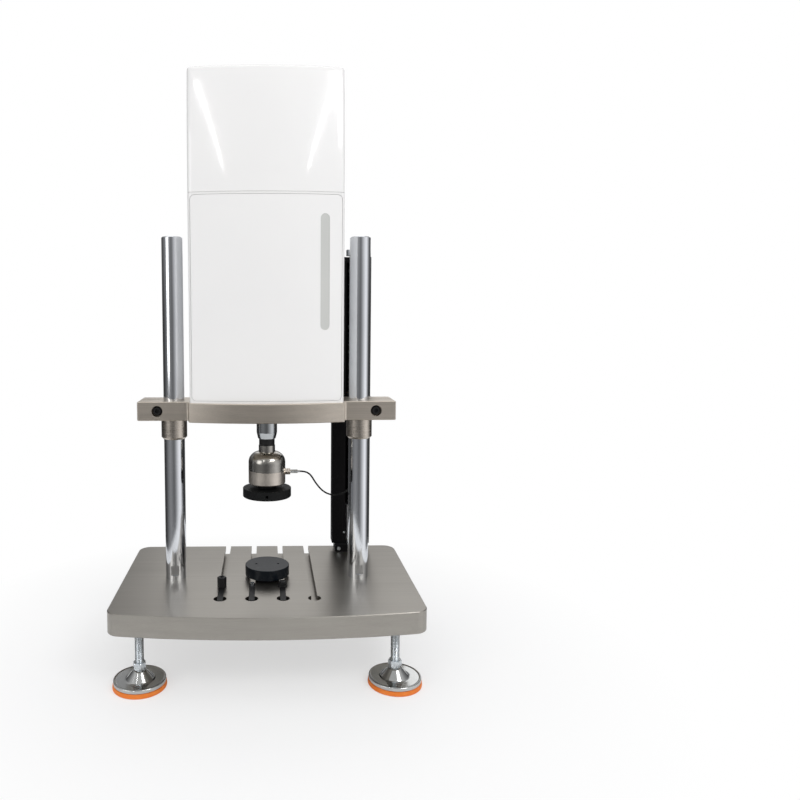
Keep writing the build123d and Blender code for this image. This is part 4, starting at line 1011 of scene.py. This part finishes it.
@dataclass
class LevellingFoot:
    """Orange pad, pressed disc and threaded stud with its hexagon.

    Attributes:
        name: Which foot.
        at: X and Y of its axis in millimetres.
        pad_radius: Radius of the rubber pad.
        pad_height: Its thickness.
        disc_radius: Radius of the pressed disc.
        disc_top: Height of the disc's flat.
        cone_radius: Radius of the cone at its foot.
        cone_top: Height of the cone's top.
        neck_radius: Radius of the cone at its top.
        hole_radius: Radius of the fixing hole.
        hole_reach: Distance of the hole from the axis.
        stud_radius: Outer radius of the thread.
        pitch: Pitch of the thread.
        thread_depth: Depth of the thread.
        hex_across: Width of the hexagon across its flats.
        hex_turn: Turn of the hexagon in degrees.
        hex_low: Height of the hexagon's lower face.
        hex_high: Height of its upper face.
        stud_top: Height of the stud's upper end inside the base.
    """

    name: str
    at: Plane
    pad_radius: float = 60.5
    pad_height: float = 10.0
    disc_radius: float = 58.5
    disc_top: float = 19.0
    cone_radius: float = 31.0
    cone_top: float = 38.0
    neck_radius: float = 15.0
    hole_radius: float = 6.0
    hole_reach: float = 42.0
    stud_radius: float = 10.0
    pitch: float = 2.5
    thread_depth: float = 1.35
    hex_across: float = 26.0
    hex_turn: float = 17.0
    hex_low: float = 40.0
    hex_high: float = 56.0
    stud_top: float = 162.0

    def pad(self) -> Object:
        """Rubber ring with a lip that the disc sits in and a soft lower edge."""
        r, h = self.pad_radius, self.pad_height
        corners = [
            (0, 0.0), (r - 9, 0.0), (r - 7, 0.9), (r - 3.5, 0.0), (r - 0.4, 0.2),
            (r, 3.4), (r - 0.8, 6.2), (r - 0.9, h - 0.4), (r - 3.0, h), (0, h),
        ]
        radii = [0, 1, 2, 1.5, 2.2, 2, 2, 1.2, 1.2, 0]
        return revolve(f"pad_{self.name}", soften(corners, radii, 4), self.at, 96)

    def disc(self) -> Object:
        """Pressed disc: rolled rim, shallow dish and flared cone, turned about the axis."""
        low, top, tip = self.pad_height, self.disc_top, self.cone_top
        rim, cone, neck = self.disc_radius, self.cone_radius, self.neck_radius
        under = [(0, low + 0.2), (rim - 1.2, low + 0.2), (rim, low + 1.4)]
        roll = [(rim, top - 1.0), (rim - 1.6, top + 0.4), (rim - 5.5, top - 0.9)]
        flare = [(cone + 4.0, top - 1.2), (cone, top - 0.4), (neck + 1.0, tip - 1.6)]
        collar = [(neck - 1.0, tip), (neck - 4.2, tip - 0.6), (0, tip - 4.0)]
        radii = [0, 1.0, 1.0, 1.8, 1.8, 3.0, 6.0, 4.0, 2.5, 1.2, 0.8, 0]
        profile = soften(under + roll + flare + collar, radii, 6)
        return revolve(f"disc_{self.name}", profile, self.at, 128)

    def hole(self) -> Object:
        """Countersunk fixing hole: a thin cup set into the disc's dish, whose dark reddish-brown colour is
        painted shade standing in for the shade inside the hole.
        """
        r, top = self.hole_radius, self.disc_top - 1.0
        outer, edge, sole = r + 0.8, top + 0.15, top - 4.0
        corners = [(0, top - 5.0), (outer, top - 5.0), (outer, edge), (r, edge), (r - 0.4, sole), (0, sole)]
        profile = soften(corners, [0, 0, 0.3, 0.3, 0.3, 0], 3)
        centre = (self.at[0], self.at[1] - self.hole_reach)
        return revolve(f"hole_{self.name}", profile, centre, 40)

    def thread(self) -> Object:
        """Stud with a helical thread.

        The radius at angle a and height z falls from the crest by the thread's depth times the
        distance of z / pitch - a / turn from the nearest crest, eased to rounded flanks.
        """
        low, high = self.hex_high - 1.0, self.stud_top
        columns, rows_each_turn = 28, 7
        rows = int((high - low) / self.pitch * rows_each_turn)
        angle = np.linspace(0, 2 * math.pi, columns, endpoint=False)[None, :]
        z = np.linspace(low, high, rows)[:, None]
        phase = (z / self.pitch - angle / (2 * math.pi)) % 1.0
        dip = 1 - np.abs(2 * phase - 1)
        ends = np.clip((high - z) / 2.0, 0, 1)
        radius = (self.stud_radius - self.thread_depth * dip**1.4) * (0.86 + 0.14 * ends)
        x = self.at[0] + radius * np.cos(angle)
        y = self.at[1] + radius * np.sin(angle)
        rings = np.stack([x, y, np.broadcast_to(z, x.shape)], axis=-1)
        return stack_rings(f"thread_{self.name}", rings, [(*self.at, low), (*self.at, high)], 60)

    def hexagon(self) -> Object:
        """Hexagon whose corners are turned off to a cone above and below.

        At angle a the flat lies at radius across / 2 / cos(a folded into one sixth), and near
        each end the radius is held under a 30 degree cone.
        """
        columns = 72
        angle = np.linspace(0, 2 * math.pi, columns, endpoint=False)
        fold = (angle + math.pi / 6) % (math.pi / 3) - math.pi / 6
        flat = self.hex_across / 2 / np.cos(fold)
        limit = self.hex_across / 2 * np.array([0.93, 1.02, 1.16, 1.16, 1.02, 0.93])
        height = np.array([0.0, 0.4, 2.2, -2.2, -0.4, 0.0])
        base = np.array([self.hex_low] * 3 + [self.hex_high] * 3)
        radius = np.minimum(flat[None, :], limit[:, None])
        z = np.broadcast_to((base + height)[:, None], radius.shape)
        turn = angle + math.radians(self.hex_turn)
        x = self.at[0] + radius * np.cos(turn)
        y = self.at[1] + radius * np.sin(turn)
        rings = np.stack([x, y, z], axis=-1)
        ends = [(*self.at, self.hex_low), (*self.at, self.hex_high)]
        return stack_rings(f"hexagon_{self.name}", rings, ends, 25)

    def ball(self) -> Object:
        """Ball and neck under the hexagon, seated in the disc's socket."""
        low, middle, r, neck = 14.0, 22.0, 8.0, 6.5
        up = np.linspace(-math.pi / 2, math.acos(neck / r), 14)
        sphere = np.stack([r * np.cos(up), middle + r * np.sin(up)], axis=-1)
        profile = np.concatenate([sphere, [[neck, self.hex_low], [0.0, self.hex_low]]])
        profile[0] = (0.0, low)
        return revolve(f"ball_{self.name}", profile, self.at, 32)

    def build(self, paint: Paintbox) -> None:
        """Make the foot's pieces and seat them on their bodies."""
        foot, stud = f"foot_{self.name}", f"foot_stud_{self.name}"
        pad = paint.coat(self.pad(), Finish.PAD)
        dress(pad, foot, Slot.PAD, f"foot_pad_{self.name}")
        disc = paint.coat(self.disc(), Finish.PRESSED)
        dress(disc, foot, Slot.DISC, f"foot_disc_{self.name}")
        # The hole's cup carries painted shade: its dark colour stands in for the shade inside the hole.
        hole = paint.coat(self.hole(), Finish.HOLE)
        dress(hole, foot, Slot.DISC, f"foot_disc_{self.name}")
        thread = paint.coat(self.thread(), Finish.ZINC)
        dress(thread, stud, Slot.STUD, f"foot_stud_{self.name}")
        for piece in (self.hexagon(), self.ball()):
            dress(paint.coat(piece, Finish.ZINC), stud, Slot.STUD, f"foot_stud_{self.name}")


@dataclass
class Hood:
    """Closed white hood whose front leans back towards the top.

    Attributes:
        low: Height of its lower edge in millimetres.
        high: Height of its top.
        width: Overall width.
        front: Reach of the middle of its front from the column line.
        bow: How far the front's ends lie behind its middle.
        rear: Reach of its back.
        lean: How far the front leans back at the top.
        curve: Power of the height share in the lean.
        corner: Radius of the upright corners.
        top_round: Rounding of the top edge.
        seam: Height of the shadow gap above the lower cover.
        seam_depth: Depth of that gap.
        gap_below: Clearance to the lower cover.
        lip_inset: How far the lower lip is drawn in.
        lip_height: Height over which it comes out again.
        middle: Y of the column line.
        top_shares: Shares of the way from the top edge to its middle, one for each ring there.
    """

    low: float = 1103.0
    high: float = 1387.0
    width: float = 359.0
    front: float = 92.0
    bow: float = 18.0
    rear: float = 92.0
    lean: float = 17.0
    curve: float = 2.5
    corner: float = 10.0
    top_round: float = 7.0
    seam: float = 1.5
    seam_depth: float = 1.8
    gap_below: float = 0.05
    lip_inset: float = 0.35
    lip_height: float = 0.4
    middle: float = 8.0
    top_shares: tuple[float, ...] = (0.12, 0.3, 0.55, 0.8)

    def ring(self, height: float, inset: float) -> np.ndarray:
        """Outline at one height, drawn in by an inset."""
        share = max((height - self.low) / (self.high - self.low), 0.0)
        shift = self.lean * share**self.curve
        plan = bowed_ring(
            self.width - 2 * inset,
            self.front - inset - shift,
            self.bow,
            self.rear - inset,
            max(self.corner - 0.5 * inset, 3.0),
            count=48,
        )
        level = np.full((len(plan), 1), height)
        return np.hstack([plan + np.array([0.0, self.middle]), level])

    def shell(self) -> Object:
        """Rings stacked in height, drawn in at the seam and round the top edge."""
        start = self.low + self.seam + self.lip_height
        rise = np.linspace(start, self.high - self.top_round, 34)
        bend = np.linspace(0, math.pi / 2, 8)[1:]
        levels = [
            (self.low + self.gap_below, self.seam_depth),
            (self.low + self.seam, self.seam_depth),
            (self.low + self.seam, self.lip_inset),
        ]
        levels += [(height, 0.0) for height in rise]
        levels += [
            (
                self.high - self.top_round + self.top_round * math.sin(turn),
                self.top_round * (1 - math.cos(turn)),
            )
            for turn in bend
        ]
        rings = [self.ring(height, inset) for height, inset in levels]
        top = rings[-1]
        middle = np.array([0.0, self.middle, self.high])
        rings += [top + (middle - top) * share for share in self.top_shares]
        ends = [(0.0, self.middle, self.low + self.gap_below), (0.0, self.middle, self.high)]
        return stack_rings("hood_shell", np.array(rings), ends, 40)

    def build(self, paint: Paintbox) -> None:
        """Make the hood and let it stand for its CAD node."""
        shell = paint.coat(self.shell(), Finish.COVER)
        dress(shell, "crosshead", Slot.COVER, "hood")


NODE_FINISHES: dict[Finish, tuple[str, ...]] = {
    Finish.PLATE: ("base_plate",),
    Finish.CROSSHEAD: ("crosshead",),
    Finish.COLUMN: ("column_left", "column_right"),
    Finish.ROD: ("actuator_rod",),
    Finish.PRESSED: ("foot_disc_*",),
    Finish.BUSH: ("guide_bush_left", "guide_bush_right"),
    Finish.DOME: ("load_cell_dome",),
    Finish.NICKEL: ("load_cell_base", "cable_socket", "cable_gland"),
    Finish.ZINC: (
        "platen_stud", "t_screw_middle", "post_screws", "lift_screw", "panel_screws",
        "foot_stud_*",
    ),
    Finish.BRONZE: ("rod_bearing", "lift_nut"),
    Finish.COPPER: ("motor_coil",),
    Finish.MAGNET: ("magnet_sleeve",),
    Finish.ALUMINIUM: ("lift_gearmotor", "motor_housing", "motor_end_cap"),
    Finish.COVER: ("cover_shell", "front_panel", "hood"),
    Finish.WINDOW: ("window_strip",),
    Finish.PANEL: ("rear_panel",),
    Finish.POST: ("lift_post", "post_foot", "post_bearing_block", "lift_arm"),
    Finish.BLACK_OXIDE: (
        "column_nuts", "t_bar_left", "t_bar_middle", "t_bar_right", "t_nut_left", "t_nut_right",
        "clamp_screw_left", "clamp_screw_right", "socket_screws", "lock_nut",
    ),
    Finish.UPPER_PLATEN: ("upper_platen",),
    Finish.NAVY: ("lower_platen",),
    Finish.PAD: ("foot_pad_*",),
    Finish.CABLE: ("load_cell_cable",),
    Finish.PLUG: ("cable_plug",),
    Finish.SOCKET: ("rear_sockets",),
}


def finish_cad_nodes(nodes: dict[str, Object], paint: Paintbox) -> None:
    """Give every CAD node its finish; a star stands for the rest of a name."""
    for finish, names in NODE_FINISHES.items():
        for name in names:
            stem = name.rstrip("*")
            found = [n for n in nodes if n == name or (name != stem and n.startswith(stem))]
            for node in found:
                paint.coat(nodes[node], finish)
    bare = [n for n, node in nodes.items() if not node.data.materials]
    log.info("finished %d CAD nodes, bare: %s", len(nodes), bare)


def main(cad_box: tuple[Any, Any]) -> None:
    """Build the studio and every sub-assembly, and dress the CAD nodes."""
    logging.basicConfig(level=logging.INFO, format="%(name)s: %(message)s")
    paint = Paintbox()
    studio = Studio()
    studio.camera()
    SensorCable().build(paint)
    studio.build()
    finish_cad_nodes(frame["nodes"], paint)
    for side, x in (("left", -FOOT_SIDE), ("right", FOOT_SIDE)):
        for end, y in (("front", -FOOT_REACH), ("rear", FOOT_REACH)):
            LevellingFoot(f"{end}_{side}", (x, y)).build(paint)
    Hood().build(paint)


if __name__ == "__main__":
    main(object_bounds())
